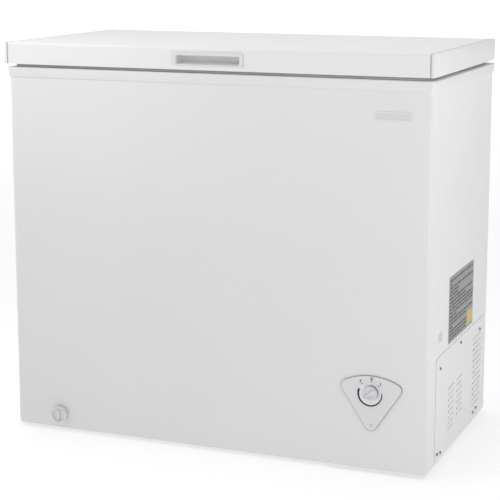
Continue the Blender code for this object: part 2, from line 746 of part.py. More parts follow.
def power_lamp():
    """Small indicator lens, set through the fascia."""
    front = -CAB_Y - GAP - PANEL_T
    profile = [(0.0, 0.0010), (0.0018, 0.0007), (0.0026, 0.0), (0.0026, -0.0100), (0.0, -0.0100)]
    return turned("power_lamp", profile, (PANEL_X, front, LAMP_Z), LAMP_LENS, steps=12, facing="front")


# ---- drain --------------------------------------------------------------------------
def drain():
    """Floor plug, elbow through the foam, sleeve in the sheet, and the pull-out spout with its dial."""
    front = -CAB_Y
    sleeve_length = 0.056
    sleeve = [
        (0.0106, 0.0012),
        (0.0150, 0.0012),
        (0.0150, GAP),
        (0.0106, GAP),
        (0.0106, -sleeve_length),
        (0.0095, -sleeve_length),
        (0.0095, 0.0012),
    ]
    place = (DRAIN_X, front, DRAIN_Z)
    turned("drain_sleeve", sleeve, place, WHITE_PLASTIC, steps=20, facing="front", closed=True)
    axis = pivot("drain_axis", place)
    spout = [
        (SPOUT_R, 0.0030),
        (SPOUT_R, 0.002 - sleeve_length),
        (0.0070, 0.002 - sleeve_length),
        (0.0070, 0.0030),
    ]
    spout_obj = turned("drain_spout", spout, place, WHITE_PLASTIC, steps=20, facing="front", closed=True)
    dial = [
        (0.0, 0.0090),
        (0.0142, 0.0090),
        (0.0150, 0.0115),
        (0.0172, 0.0115),
        (0.0190, 0.0095),
        (0.0190, 0.0050),
        (0.0170, 0.0034),
        (0.0066, 0.0034),
        (0.0066, 0.0018),
        (0.0, 0.0018),
    ]
    dial_obj = turned("drain_dial", dial, place, WHITE_PLASTIC, steps=20, facing="front")
    grip = box(
        "dial_grip",
        (DRAIN_X - 0.0028, front - 0.0125, DRAIN_Z - 0.0115),
        (DRAIN_X + 0.0028, front - 0.0080, DRAIN_Z + 0.0115),
        axis=Y,
        radius=0.0015,
    )
    boolean(dial_obj, grip, "UNION")
    carry(axis, spout_obj, dial_obj)
    top = LINER_FLOOR - GAP
    bend = 0.014
    route = [(DRAIN_X, DRAIN_Y, top)]
    for i in range(5):
        a = math.radians(22.5 * i)
        route.append((DRAIN_X, DRAIN_Y - bend + bend * math.cos(a), DRAIN_Z + bend - bend * math.sin(a)))
    route.append((DRAIN_X, front + sleeve_length + 0.003, DRAIN_Z))
    pipe = tube("drain_elbow", route, 0.0092, WHITE_PLASTIC, resolution=3)
    pipe.data.use_fill_caps = False
    solidify(as_mesh(pipe), 0.0018)
    plug = [
        (0.0, 0.0100),
        (0.0035, 0.0100),
        (0.0045, 0.0036),
        (0.0135, 0.0030),
        (0.0135, GAP),
        (0.0094, GAP),
        (0.0094, -LINER_SHEET),
        (0.0066, -LINER_SHEET - GAP),
        (0.0060, -0.0100),
        (0.0, -0.0100),
    ]
    plug_z = LINER_FLOOR + LINER_SHEET
    axis = pivot("floor_plug_axis", (DRAIN_X, DRAIN_Y, plug_z))
    plug_obj = turned("floor_drain_plug", plug, (DRAIN_X, DRAIN_Y, plug_z), RUBBER, steps=20)
    carry(axis, plug_obj)


# ---- cooling circuit ----------------------------------------------------------------
def compressor():
    """Welded hermetic shell on its footplate, four rubber mounts, and the starter on its side."""
    base = FOOT_H + FLOOR_PLATE
    plate_low, plate_high = base + 0.0070, base + 0.0098
    profile = [
        (0.0, 0.178),
        (0.020, 0.177),
        (0.038, 0.169),
        (0.050, 0.150),
        (0.054, 0.104),
        (0.058, 0.103),
        (0.058, 0.099),
        (0.054, 0.098),
        (0.054, 0.055),
        (0.040, 0.022),
        (0.0, 0.016),
    ]
    stretched = [(r, h * 0.96 + 0.002) for r, h in profile]
    shell = turned("compressor", stretched, COMPRESSOR, BLACK_STEEL, steps=20)
    shell.scale = (1.0, 1.22, 1.0)
    bm = box_mesh(
        COMPRESSOR + Vector((-LUG_X - 0.016, -LUG_Y - 0.016, plate_low)),
        COMPRESSOR + Vector((LUG_X + 0.016, LUG_Y + 0.016, plate_high)),
        axis=Z,
        radius=0.012,
    )
    footplate = finish("footplate", bm, BLACK_STEEL)
    holes = []
    for sx in (-1, 1):
        for sy in (-1, 1):
            centre = COMPRESSOR + Vector((sx * LUG_X, sy * LUG_Y, plate_low))
            holes.append(cylinder_mesh(centre, 0.0072, 0.02, Z, 12))
    boolean(footplate, joined_meshes("lug_holes", holes))
    boolean(shell, footplate, "UNION")
    mount = [
        (0.0, 0.0145),
        (0.0085, 0.0145),
        (0.0095, 0.0104),
        (0.0064, 0.0104),
        (0.0064, 0.0066),
        (0.0110, 0.0066),
        (0.0110, GAP),
        (0.0, GAP),
    ]
    for sx, across in ((-1, "inner"), (1, "outer")):
        for sy, along in ((-1, "front"), (1, "rear")):
            place = COMPRESSOR + Vector((sx * LUG_X, sy * LUG_Y, base))
            turned(f"compressor_mount_{along}_{across}", mount, place, RUBBER, steps=10)
    side = COMPRESSOR.y - 0.058 * 1.22 - 0.001
    box(
        "starter_box",
        (COMPRESSOR.x - 0.020, side - 0.034, 0.070),
        (COMPRESSOR.x + 0.020, side, 0.125),
        BLACK_PLASTIC,
        axis=Z,
        radius=0.004,
        segments=2,
    )


def bent(points, radius=0.014, steps=2):
    """The same route with each inner corner rounded."""
    route = [Vector(points[0])]
    for before, corner, after in zip(points, points[1:], points[2:]):
        corner = Vector(corner)
        into = (Vector(before) - corner)
        out = (Vector(after) - corner)
        reach = min(radius, into.length * 0.45, out.length * 0.45)
        start = corner + into.normalized() * reach
        end = corner + out.normalized() * reach
        for i in range(steps + 1):
            t = i / steps
            route.append(start * (1 - t) ** 2 + corner * 2 * t * (1 - t) + end * t**2)
    route.append(Vector(points[-1]))
    return route


def condenser_coil():
    """Steel tube that wraps back, left end and front, level by level, against the outer sheet."""
    x, y, turn = CONDENSER_X, CONDENSER_Y, CONDENSER_TURN_X
    top = CONDENSER_LEVELS[-1]
    corners = [(0.272, y, CONDENSER_LEVELS[0])]
    for i, z in enumerate(CONDENSER_LEVELS):
        s = -1 if i % 2 else 1
        if i:
            corners.append((turn, s * y, z))
        corners += [(-x, s * y, z), (-x, -s * y, z)]
        if z < top:
            corners.append((turn, -s * y, z))
    corners += [(RETURN_X, y, top), (RETURN_X, y, 0.200), (RETURN_X, 0.214, 0.178)]
    tube("condenser_coil", bent(corners, 0.014), CONDENSER_R, COPPER)


def evaporator_coil():
    """Tube wound round the liner from the bottom up; each turn steps up behind the back wall."""
    x, y, step = EVAPORATOR_X, EVAPORATOR_Y, 0.026
    top = EVAPORATOR_LEVELS[-1]
    corners = [(INLET_X, y, 0.190), (INLET_X, y, INLET_Z), (step, y, INLET_Z)]
    for z in EVAPORATOR_LEVELS:
        corners += [(-step, y, z), (-x, y, z), (-x, -y, z), (x, -y, z), (x, y, z)]
        if z < top:
            corners.append((step, y, z))
    corners += [(0.358, y, top), (0.344, SUCTION_Y, top), (SUCTION_X + 0.0113, SUCTION_Y, top)]
    tube("evaporator_coil", bent(corners, 0.016), EVAPORATOR_R, ALUMINIUM)


def refrigerant_lines():
    """Discharge, drier, capillary and suction, joining compressor, condenser and evaporator."""
    shell_x = COMPRESSOR.x - 0.055
    shell_rear = COMPRESSOR.y + 0.054 * 1.22 + 0.001
    level = CONDENSER_LEVELS[0]
    discharge = [
        (shell_x, COMPRESSOR.y + 0.010, 0.080),
        (0.282, COMPRESSOR.y + 0.010, 0.080),
        (0.282, 0.200, 0.080),
        (0.282, CONDENSER_Y, level),
        (0.2723, CONDENSER_Y, level),
    ]
    tube("discharge_line", bent(discharge, 0.012), CONDENSER_R, COPPER)
    suction = [
        (SUCTION_X + 0.0110, SUCTION_Y, EVAPORATOR_LEVELS[-1]),
        (SUCTION_X, SUCTION_Y, EVAPORATOR_LEVELS[-1]),
        (SUCTION_X, SUCTION_Y, 0.145),
        (COMPRESSOR.x, 0.165, 0.120),
        (COMPRESSOR.x, shell_rear, 0.120),
    ]
    tube("suction_line", bent(suction, 0.012), 0.0035, COPPER)
    drier = [(0.0, 0.098), (0.003, 0.096), (0.009, 0.084), (0.009, 0.014), (0.003, 0.002), (0.0, 0.0)]
    turned("filter_drier", drier, (RETURN_X, 0.214, 0.0770), COPPER, steps=12)
    loops, points, radius = 3, 12, 0.016
    middle = Vector((0.2900, 0.1720, 0.0))
    capillary = [(RETURN_X, 0.214, 0.0765), (RETURN_X, 0.214, 0.0640), (middle.x + radius, 0.195, 0.0600)]
    for i in range(loops * points + 1):
        a = -2 * math.pi * i / points
        z = 0.0600 + 0.0035 * i / points
        capillary.append((middle.x + radius * math.cos(a), middle.y + radius * math.sin(a), z))
    top = (INLET_X, EVAPORATOR_Y, 0.1890)
    capillary += [(middle.x + radius, middle.y, 0.150), (top[0], top[1], 0.176), top]
    tube("capillary_tube", capillary, 0.0010, COPPER, resolution=0)


# ---- lid ----------------------------------------------------------------------------
def lid_skin():
    """Painted sheet bent over front, top and back, open at both ends and underneath."""
    end = LID_X - END_CAP_W - END_SEAM
    bm = open_box_mesh((-end, LID_FRONT, LID_BOTTOM), (end, LID_BACK, LID_TOP), ("-Z", "-X", "+X"))
    round_edges(bm, X, 0.005, 3, lambda middle: middle.z > LID_TOP - 0.001)
    skin = solidify(finish("lid_skin", bm, WHITE_STEEL, closed=False), SHEET)
    margin = 0.0022
    low = (-RECESS_W / 2 - margin, LID_FRONT - 0.01, RECESS_Z[0] - margin)
    high = (RECESS_W / 2 + margin, LID_FRONT + 0.01, RECESS_Z[1] + margin)
    return boolean(skin, box("handle_cutout", low, high))


def sink(bm, face, margin):
    """Lowers the middle of a downward face, centred on the liner's mouth, with a steep wall round it."""
    bmesh.ops.inset_region(bm, faces=[face], thickness=margin, use_even_offset=True, use_boundary=True)
    bmesh.ops.translate(bm, vec=(0.0, -(LID_FRONT + LID_BACK) / 2, 0.0), verts=face.verts)
    bmesh.ops.inset_region(bm, faces=[face], thickness=0.0015, use_even_offset=True, use_boundary=True)
    bmesh.ops.translate(bm, vec=(0.0, 0.0, -0.0120), verts=face.verts)


def lid_foam():
    """Lid insulation: a slab, thicker in the middle where it fills the inner pan."""
    end = LID_X - END_CAP_W - GAP
    low = (-end, LID_FRONT + SHEET + GAP, LID_BOTTOM + 0.0022)
    high = (end, LID_BACK - SHEET - GAP, LID_TOP - SHEET - GAP)
    bm = box_mesh(low, high)
    round_edges(bm, X, 0.0055, 2, lambda middle: middle.z > LID_TOP - 0.01)
    under = min(bm.faces, key=lambda f: f.calc_center_median().z)
    sink(bm, under, 0.0900)
    foam = finish("lid_foam", bm, FOAM)
    margin = 0.0022
    low = (-RECESS_W / 2 - margin, LID_FRONT - 0.01, RECESS_Z[0] - margin)
    high = (RECESS_W / 2 + margin, LID_FRONT + RECESS_DEPTH + 0.003, RECESS_Z[1] + RECESS_RISE + margin)
    return boolean(foam, box("handle_pocket_void", low, high))


def lid_pan():
    """Inner moulding: a flange for the gasket, and a shallow tray over the mouth of the liner."""
    end = LID_X - END_CAP_W - GAP
    y0, y1, z = LID_FRONT + SHEET + GAP, LID_BACK - SHEET - GAP, LID_BOTTOM + 0.0005
    bm = bmesh.new()
    corners = ((-end, y0), (-end, y1), (end, y1), (end, y0))  # facing down
    face = bm.faces.new([bm.verts.new((x, y, z)) for x, y in corners])
    bm.normal_update()
    sink(bm, face, 0.0880)
    return solidify(finish("lid_pan", bm, WHITE_PLASTIC, closed=False), 0.0014)


def lid_gasket():
    """Magnetic vinyl seal all the way round, just inside the lid's edge."""
    half_x, half_y, width = 0.4565, 0.2375, 0.014
    outlines = [
        rounded_rectangle(half_x, half_y, 0.014),
        rounded_rectangle(half_x - width, half_y - width, 0.004),
    ]
    low, high = COLLAR_TOP + GAP, LID_BOTTOM + 0.0005 - GAP
    return plate("lid_gasket", outlines, high - low, (0.0, -0.004, (low + high) / 2), VINYL)


def lid_end_caps():
    """Moulded strips that close the two ends of the lid, a little proud of the sheet."""
    made = []
    for side, s in (("left", -1), ("right", 1)):
        inner, outer = LID_X - END_CAP_W + GAP, LID_X
        low = (min(s * inner, s * outer), LID_FRONT, LID_BOTTOM)
        high = (max(s * inner, s * outer), LID_BACK, LID_TOP)
        bm = open_box_mesh(low, high, ("-X" if s > 0 else "+X",))
        round_edges(bm, Z, 0.004, 3, lambda middle, s=s: s * middle.x > LID_X - 0.001)
        made.append(solidify(finish(f"lid_end_cap_{side}", bm, WHITE_PLASTIC, closed=False), 0.0018))
    return made


def handle_pocket():
    """Finger grip: a flat frame on the lid's front and a pocket whose floor slopes up behind it."""
    face_y = LID_FRONT - GAP
    thickness = 0.0014
    bm = box_mesh(
        (-HANDLE_W / 2, face_y - thickness, HANDLE_Z - HANDLE_H / 2),
        (HANDLE_W / 2, face_y, HANDLE_Z + HANDLE_H / 2),
        axis=Y,
        radius=0.003,
    )
    frame = finish("handle_pocket", bm, WHITE_PLASTIC)
    low_z, high_z = RECESS_Z
    back, wall = LID_FRONT + RECESS_DEPTH, 0.0015

    def climbing(low, high):
        bm = box_mesh(low, high)
        for v in bm.verts:
            if v.co.y > LID_FRONT:
                v.co.z += RECESS_RISE
        return bm

    low = (-RECESS_W / 2 - wall, face_y - 0.0008, low_z - wall)
    high = (RECESS_W / 2 + wall, back + wall, high_z + wall)
    boolean(frame, finish("pocket_outside", climbing(low, high), None), "UNION")
    low = (-RECESS_W / 2, LID_FRONT - 0.01, low_z)
    high = (RECESS_W / 2, back, high_z)
    return boolean(frame, finish("pocket_inside", climbing(low, high), None))


# ---- hinges -------------------------------------------------------------------------
def hinge(side, x, lid_axis):
    """One counterbalanced hinge: bracket on the cabinet, leaf on the lid, pin, and coil spring."""
    back = CAB_Y + GAP
    ear_back = HINGE_BACK
    collar_back = CAB_Y + COLLAR_PROUD + 0.0006
    outline = [
        (back, 0.690),
        (ear_back - 0.004, 0.690),
        (ear_back, 0.712),
        (ear_back, HINGE_Z),
        *arc(HINGE_Y, HINGE_Z, ear_back - HINGE_Y - 0.0022, 40, 140, 4),
        (collar_back, HINGE_Z),
        (collar_back, 0.774),
        (back, 0.770),
    ]
    low, high = (x - 0.0205, back, 0.690), (x + 0.0205, back + 0.0020, 0.769)
    bracket = box(f"hinge_bracket_{side}", low, high, GREY_STEEL)
    for i, offset in enumerate((-0.0200, 0.0200)):
        ear = plate(f"hinge_ear_{side}_{i}", [outline], 0.002, (x + offset, 0.0, 0.0), None, "side")
        boolean(bracket, ear, "UNION")
    axis = (x, HINGE_Y, HINGE_Z)
    boolean(bracket, cylinder(f"pin_bore_{side}", axis, PIN_R + GAP, 0.06, X, None, 16))
    leaf_back = LID_BACK + GAP + 0.002
    low, high = (x - 0.0180, LID_BACK + GAP, HINGE_Z + 0.0065), (x + 0.0180, leaf_back, 0.846)
    leaf = box(f"hinge_leaf_{side}", low, high, GREY_STEEL)
    low, high = (x - 0.0170, LID_BACK + GAP + 0.0001, HINGE_Z + 0.0020), (x + 0.0020, HINGE_Y, HINGE_Z + 0.0080)
    knuckle = (x - 0.0075, HINGE_Y, HINGE_Z)
    boolean(leaf, box(f"leaf_web_{side}", low, high), "UNION")
    boolean(leaf, cylinder(f"knuckle_{side}", knuckle, 0.0055, 0.0190, X, None, 16), "UNION")
    boolean(leaf, cylinder(f"knuckle_bore_{side}", axis, PIN_R + GAP, 0.07, X, None, 16))
    cylinder(f"hinge_pin_{side}", axis, PIN_R, 0.0440, X, GREY_STEEL, 16)
    turns, per_turn, wire = 4, 8, 0.0008
    coil_r, start, end = PIN_R + GAP + wire + 0.0005, x + 0.0038, x + 0.0170
    route = [(start, HINGE_Y + coil_r, 0.772)]
    for i in range(turns * per_turn + 1):
        a = 2 * math.pi * i / per_turn
        place = start + (end - start) * i / (turns * per_turn)
        route.append((place, HINGE_Y + coil_r * math.cos(a), HINGE_Z + coil_r * math.sin(a)))
    route.append((end, HINGE_Y + coil_r, 0.772))
    tube(f"hinge_spring_{side}", route, wire, GREY_STEEL, resolution=0)
    carry(lid_axis, leaf)


# ---- basket -------------------------------------------------------------------------
def storage_basket():
    """Hanging basket: an open tub with windows, and rims at front and back that rest on the ledge."""
    (x0, x1), y, (z0, z1) = BASKET_X, BASKET_Y, BASKET_Z
    bm = open_box_mesh((x0, -y, z0), (x1, y, z1), ("+Z",))
    tub = solidify(finish("storage_basket", bm, COATED_WIRE, closed=False), BASKET_T)
    low, high = z0 + 0.018, z1 - 0.030
    wide, deep = 0.026, 0.030
    columns, rows = windows(x0, x1, 6, wide), windows(-y, y, 8, deep)
    long_windows = [box_mesh((x, -0.3, low), (x + wide, 0.3, high)) for x in columns]
    end_windows = [box_mesh((0.0, v, low), (0.5, v + deep, high)) for v in rows]
    floor_windows = [box_mesh((x, -0.150, 0.5), (x + wide, 0.150, z0 + 0.010)) for x in columns]
    boolean(tub, joined_meshes("long_windows", long_windows))
    boolean(tub, joined_meshes("end_windows", end_windows))
    boolean(tub, joined_meshes("floor_windows", floor_windows))
    reach = LINER_Y - 0.0065
    for i, s in enumerate((-1, 1)):
        near, away = sorted((s * (y - BASKET_T / 2), s * reach))
        rim = box(f"basket_rim_{i}", (x0 + 0.001, near, LEDGE_TOP + GAP), (x1 - 0.001, away, z1 - 0.0008))
        boolean(tub, rim, "UNION")
    carry(pivot("basket_axis", (x0, 0.0, LEDGE_TOP)), tub)


def windows(start, end, count, width):
    """Where evenly spaced windows begin, between two walls."""
    bar = (end - start - count * width) / (count + 1)
    return [start + bar + i * (bar + width) for i in range(count)]


# ---- assembly -----------------------------------------------------------------------
def build():
    cabinet_wrap()
    back_panel()
    base_pan()
    machine_bay_sheet()
    cabinet_foam()
    inner_liner()
    top_collar()
    vent_cover()
    vent_screws()
    feet()
    power_cord_gland()
    badge_and_label()
    control_panel()
    thermostat()
    power_lamp()
    drain()
    compressor()
    condenser_coil()
    evaporator_coil()
    refrigerant_lines()
    lid_axis = pivot("lid_axis", (0.0, HINGE_Y, HINGE_Z))
    carry(lid_axis, lid_skin(), lid_foam(), lid_pan(), lid_gasket(), handle_pocket(), *lid_end_caps())
    for side, x in HINGE_XS.items():
        hinge(side, x, lid_axis)
    storage_basket()


build()
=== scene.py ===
"""Looks of the chest freezer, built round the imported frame.

Metres, +Z up, front towards -Y. Every piece is modelled in place, with its object at the origin, so that
the patterns of its material, which read object coordinates, have their real size on every piece.
"""

import json
import math
import random

import bmesh
import bpy
from mathutils import Matrix, Vector


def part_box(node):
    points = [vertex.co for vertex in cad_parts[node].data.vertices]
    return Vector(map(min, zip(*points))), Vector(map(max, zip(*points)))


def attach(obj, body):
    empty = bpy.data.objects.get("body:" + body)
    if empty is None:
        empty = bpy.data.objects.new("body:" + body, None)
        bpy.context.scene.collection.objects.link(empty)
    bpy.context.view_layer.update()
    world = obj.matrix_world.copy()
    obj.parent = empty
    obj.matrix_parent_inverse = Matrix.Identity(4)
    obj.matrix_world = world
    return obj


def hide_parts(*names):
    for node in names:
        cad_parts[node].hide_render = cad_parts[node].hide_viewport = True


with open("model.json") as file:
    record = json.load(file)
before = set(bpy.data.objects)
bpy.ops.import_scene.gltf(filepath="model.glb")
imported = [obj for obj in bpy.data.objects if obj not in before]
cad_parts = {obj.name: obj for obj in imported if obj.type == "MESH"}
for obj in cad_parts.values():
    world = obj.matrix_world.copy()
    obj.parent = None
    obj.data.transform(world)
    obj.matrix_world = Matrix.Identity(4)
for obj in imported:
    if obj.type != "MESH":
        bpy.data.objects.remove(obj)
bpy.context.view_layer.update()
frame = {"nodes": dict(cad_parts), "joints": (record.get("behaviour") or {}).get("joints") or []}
NODES = frame["nodes"]

UP = Matrix.Identity(3)
FRONT = Matrix.Rotation(math.pi / 2, 3, "X")  # +Z of a turned shape comes out of the front
SIDE = Matrix.Rotation(math.pi / 2, 3, "Y")  # and here out of the right-hand side
BACK = Matrix.Rotation(-math.pi / 2, 3, "X")
QUARTER_TURN = Matrix.Rotation(math.pi / 2, 3, "Z")


# ---- mesh tools ----
def linked(name, data):
    obj = bpy.data.objects.new(name, data)
    bpy.context.scene.collection.objects.link(obj)
    return obj


def discard(obj):
    mesh = obj.data
    bpy.data.objects.remove(obj)
    bpy.data.meshes.remove(mesh)


def coated(mesh, mats):
    """Gives the mesh its materials. Faces that it has already all go back to the first one."""
    mesh.materials.clear()
    for mat in mats:
        mesh.materials.append(mat)


def finished(name, mesh, *mats, sharp=35.0):
    """The mesh as an object in the scene, with smooth faces and sharp corners."""
    coated(mesh, mats)
    mesh.shade_smooth()
    mesh.set_sharp_from_angle(angle=math.radians(sharp))
    return linked(name, mesh)


def built(name, bm, *mats, sharp=35.0, recalc=True):
    if recalc:
        bmesh.ops.recalc_face_normals(bm, faces=bm.faces)
    mesh = bpy.data.meshes.new(name)
    bm.to_mesh(mesh)
    bm.free()
    return finished(name, mesh, *mats, sharp=sharp)


def evaluated(obj):
    """A mesh of the object as it is with its modifiers, or of what a curve fills."""
    depsgraph = bpy.context.evaluated_depsgraph_get()
    return bpy.data.meshes.new_from_object(obj.evaluated_get(depsgraph), depsgraph=depsgraph)


def applied(obj):
    """The object with its modifiers made real."""
    mats = [slot.material for slot in obj.material_slots]
    old, obj.data = obj.data, evaluated(obj)
    obj.modifiers.clear()
    bpy.data.meshes.remove(old)
    coated(obj.data, mats)
    return obj


def eased(obj, width, segments=2, angle=38.0):
    """Small roundings along the sharp edges, and normals that keep flat faces flat."""
    mesh = obj.data
    mesh.shade_smooth()
    for name in ("sharp_edge", "custom_normal"):
        if name in mesh.attributes:
            mesh.attributes.remove(mesh.attributes[name])
    bevel = obj.modifiers.new("edges", "BEVEL")
    bevel.width = width
    bevel.segments = segments
    bevel.limit_method = "ANGLE"
    bevel.angle_limit = math.radians(angle)
    bevel.miter_outer = "MITER_ARC"
    obj.modifiers.new("normals", "WEIGHTED_NORMAL").keep_sharp = False
    return obj


def thick(obj, thickness):
    """The surface as a sheet that reaches inwards from it."""
    sheet = obj.modifiers.new("sheet", "SOLIDIFY")
    sheet.thickness = thickness
    sheet.offset = -1.0
    sheet.use_even_offset = True
    sheet.use_quality_normals = True
    return applied(obj)


def cut(obj, cutter):
    """A boolean made real at once, so that no cutter stays in the scene."""
    made = obj.modifiers.new("cut", "BOOLEAN")
    made.operation = "DIFFERENCE"
    made.object = cutter
    made.solver = "EXACT"
    applied(obj)
    discard(cutter)
    return obj


def placed(obj, turn, place):
    """Turns and moves the mesh, not the object."""
    obj.data.transform(Matrix.Translation(place) @ turn.to_4x4())
    return obj


def joined(name, parts):
    """Several objects' meshes as one piece in which each keeps its own materials."""
    slots = []
    whole = bmesh.new()
    for part in parts:
        own = list(applied(part).data.materials)
        slots += [mat for mat in own if mat not in slots]
        start = len(whole.faces)
        whole.from_mesh(part.data)
        whole.faces.ensure_lookup_table()
        for face in whole.faces[start:]:
            face.material_index = slots.index(own[face.material_index])
        discard(part)
    mesh = bpy.data.meshes.new(name)
    coated(mesh, slots)
    whole.to_mesh(mesh)
    whole.free()
    return linked(name, mesh)


def settle(obj, body, slot, *nodes):
    """The piece rides on a body and stands for its CAD nodes, which are hidden. The slot is not used."""
    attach(obj, body)
    if nodes:
        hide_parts(*nodes)
    return obj


def rounded(points, radius, steps=3, closed=False):
    """A 2D or 3D polyline whose corners are curves that leave the lines at most a radius away."""
    points = [Vector(p) for p in points]
    count = len(points)
    made = []
    for i, corner in enumerate(points):
        if not closed and i in (0, count - 1):
            made.append(corner)
            continue
        into, out = points[i - 1] - corner, points[(i + 1) % count] - corner
        reach = min(radius, 0.45 * into.length, 0.45 * out.length)
        start, end = corner + into.normalized() * reach, corner + out.normalized() * reach
        for k in range(steps + 1):
            t = k / steps
            made.append(start * (1 - t) ** 2 + corner * 2 * t * (1 - t) + end * t**2)
    return made


def loft(rings, closed=False, capped=True):
    """Faces between rings that have the same number of points, with caps or back to the first ring."""
    bm = bmesh.new()
    rows = [[bm.verts.new(p) for p in ring] for ring in rings]
    count = len(rows[0])
    for a, b in zip(rows, rows[1:] + rows[:1] if closed else rows[1:]):
        for i in range(count):
            j = (i + 1) % count
            bm.faces.new((a[i], a[j], b[j], b[i]))
    if capped and not closed:
        bm.faces.new(rows[0][::-1])
        bm.faces.new(rows[-1])
    return bm


def footprint(low, high, radii, steps=6, grow=0.0):
    """A rectangle's outline with round corners, drawn larger by grow.

    The radius is one for all corners, or one each for high-high, low-high, low-low and high-low.
    """
    points = []
    signs = ((1, 1), (-1, 1), (-1, -1), (1, -1))
    each = (radii,) * 4 if isinstance(radii, float) else radii
    for quarter, ((sx, sy), r) in enumerate(zip(signs, each)):
        r = max(r, 0.00005)
        cx = high[0] + grow - r if sx > 0 else low[0] - grow + r
        cy = high[1] + grow - r if sy > 0 else low[1] - grow + r
        for i in range(steps + 1):
            a = math.pi / 2 * (quarter + i / steps)
            points.append((cx + r * math.cos(a), cy + r * math.sin(a)))
    return points


def arc(cx, cy, radius, start, end, steps):
    angles = [math.radians(start + (end - start) * i / steps) for i in range(steps + 1)]
    return [(cx + radius * math.cos(a), cy + radius * math.sin(a)) for a in angles]


def circle(x, y, r, steps=20):
    return arc(x, y, r, 0, 360, steps)[:-1]


def stadium(x0, x1, y, height):
    """The outline of a slot with round ends."""
    r = height / 2
    return arc(x1 - r, y, r, -90, 90, 6) + arc(x0 + r, y, r, 90, 270, 6)


def teardrop(radius, tip, tip_radius, base=0.0):
    """A disc round (0, base) that narrows, tangentially, to a small round tip along +Y."""
    reach = tip - tip_radius - base
    lean = math.degrees(math.asin((radius - tip_radius) / reach))
    disc = arc(0.0, base, radius, 180 - lean, 360 + lean, 30)
    return disc + arc(0.0, base + reach, tip_radius, lean, 180 - lean, 8)


def at_height(outline, z):
    return [(x, y, z) for x, y in outline]


def at_depth(outline, y):
    return [(x, y, z) for x, z in outline]


def lathe(profile, steps=64, closed=False):
    """Turns (radius, height) points round +Z. A point at radius 0 closes the shape."""
    bm = bmesh.new()
    rings = []
    angles = [2 * math.pi * i / steps for i in range(steps)]
    for r, z in profile:
        if r < 1e-6:
            rings.append([bm.verts.new((0.0, 0.0, z))])
        else:
            rings.append([bm.verts.new((r * math.cos(a), r * math.sin(a), z)) for a in angles])
    for a, b in zip(rings, rings[1:] + rings[:1] if closed else rings[1:]):
        for i in range(steps):
            j = (i + 1) % steps
            corners = [a[i % len(a)], a[j % len(a)], b[j % len(b)], b[i % len(b)]]
            corners = [v for k, v in enumerate(corners) if v not in corners[:k]]
            if len(corners) > 2:
                bm.faces.new(corners)
    return bm


def filled(curve):
    """The mesh that a curve or a text fills. The curve itself goes."""
    obj = linked(curve.name, curve)
    mesh = evaluated(obj)
    bpy.data.objects.remove(obj)
    bpy.data.curves.remove(curve)
    return mesh


def whole_faces(mesh, distance=0.00001):
    """The mesh as a bmesh, with near points merged and facets joined into whole faces."""
    bm = bmesh.new()
    bm.from_mesh(mesh)
    bmesh.ops.remove_doubles(bm, verts=bm.verts, dist=distance)
    bmesh.ops.dissolve_limit(bm, angle_limit=math.radians(0.5), verts=bm.verts, edges=bm.edges)
    return bm


def plate(name, outlines, thickness, ease, *mats):
    """A flat piece from an outline and its holes, lying in X and Y with its middle at 0, edges rounded."""
    curve = bpy.data.curves.new(name, "CURVE")
    curve.dimensions = "2D"
    curve.fill_mode = "BOTH"
    curve.extrude = thickness / 2 - ease
    curve.bevel_depth = ease
    curve.bevel_resolution = 1
    curve.offset = -ease
    for outline in outlines:
        spline = curve.splines.new("POLY")
        spline.points.add(len(outline) - 1)
        for point, (x, y) in zip(spline.points, outline):
            point.co = (x, y, 0.0, 1.0)
        spline.use_cyclic_u = True
    mesh = filled(curve)
    bm = whole_faces(mesh, 0.000002)
    bpy.data.meshes.remove(mesh)
    obj = built(name, bm, *mats, sharp=50.0)
    obj.modifiers.new("normals", "WEIGHTED_NORMAL").keep_sharp = True
    return applied(obj)


def wires(name, routes, radius, *mats, sides=8, closed=()):
    """Round wires or tubes along routes, as one mesh. The routes numbered in closed are rings."""
    bm = bmesh.new()
    turn = [2 * math.pi * k / sides for k in range(sides)]
    for number, route in enumerate(routes):
        ring = number in closed
        points = [Vector(p) for p in route]
        count = len(points)
        normal = None
        rows = []
        for i, point in enumerate(points):
            if ring:
                tangent = points[(i + 1) % count] - points[i - 1]
            else:
                tangent = points[min(i + 1, count - 1)] - points[max(i - 1, 0)]
            tangent.normalize()
            if normal is None:
                normal = tangent.orthogonal().normalized()
            normal = (normal - tangent * normal.dot(tangent)).normalized()
            across = tangent.cross(normal)
            row = [point + (normal * math.cos(a) + across * math.sin(a)) * radius for a in turn]
            rows.append([bm.verts.new(p) for p in row])
        if ring:  # the rows may have turned on the way round, so the last meets the first where it is nearest
            shift = min(range(sides), key=lambda k: (rows[0][k].co - rows[-1][0].co).length)
            rows.append(rows[0][shift:] + rows[0][:shift])
        for a, b in zip(rows, rows[1:]):
            for k in range(sides):
                bm.faces.new((a[k], a[(k + 1) % sides], b[(k + 1) % sides], b[k]))
        if not ring:
            bm.faces.new(rows[0][::-1])
            bm.faces.new(rows[-1])
    return built(name, bm, *mats, sharp=60.0)


def block(name, low, high):
    """A box for cutting with."""
    bm = bmesh.new()
    bmesh.ops.create_cube(bm, size=1.0)
    low, high = Vector(low), Vector(high)
    for v in bm.verts:
        v.co = (low + high) / 2 + Vector(v.co[i] * (high - low)[i] for i in range(3))
    return built(name, bm)


def drill(radius, reach, turn, place):
    """A round bar for cutting with, to the same length on both sides of a place."""
    profile = [(0.0, reach), (radius, reach), (radius, -reach), (0.0, -reach)]
    return placed(built("drill", lathe(profile)), turn, place)


def centre(node):
    low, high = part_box(node)
    return (low + high) / 2


def welded(node):
    """A CAD node's shape as a bmesh."""
    return whole_faces(NODES[node].data)


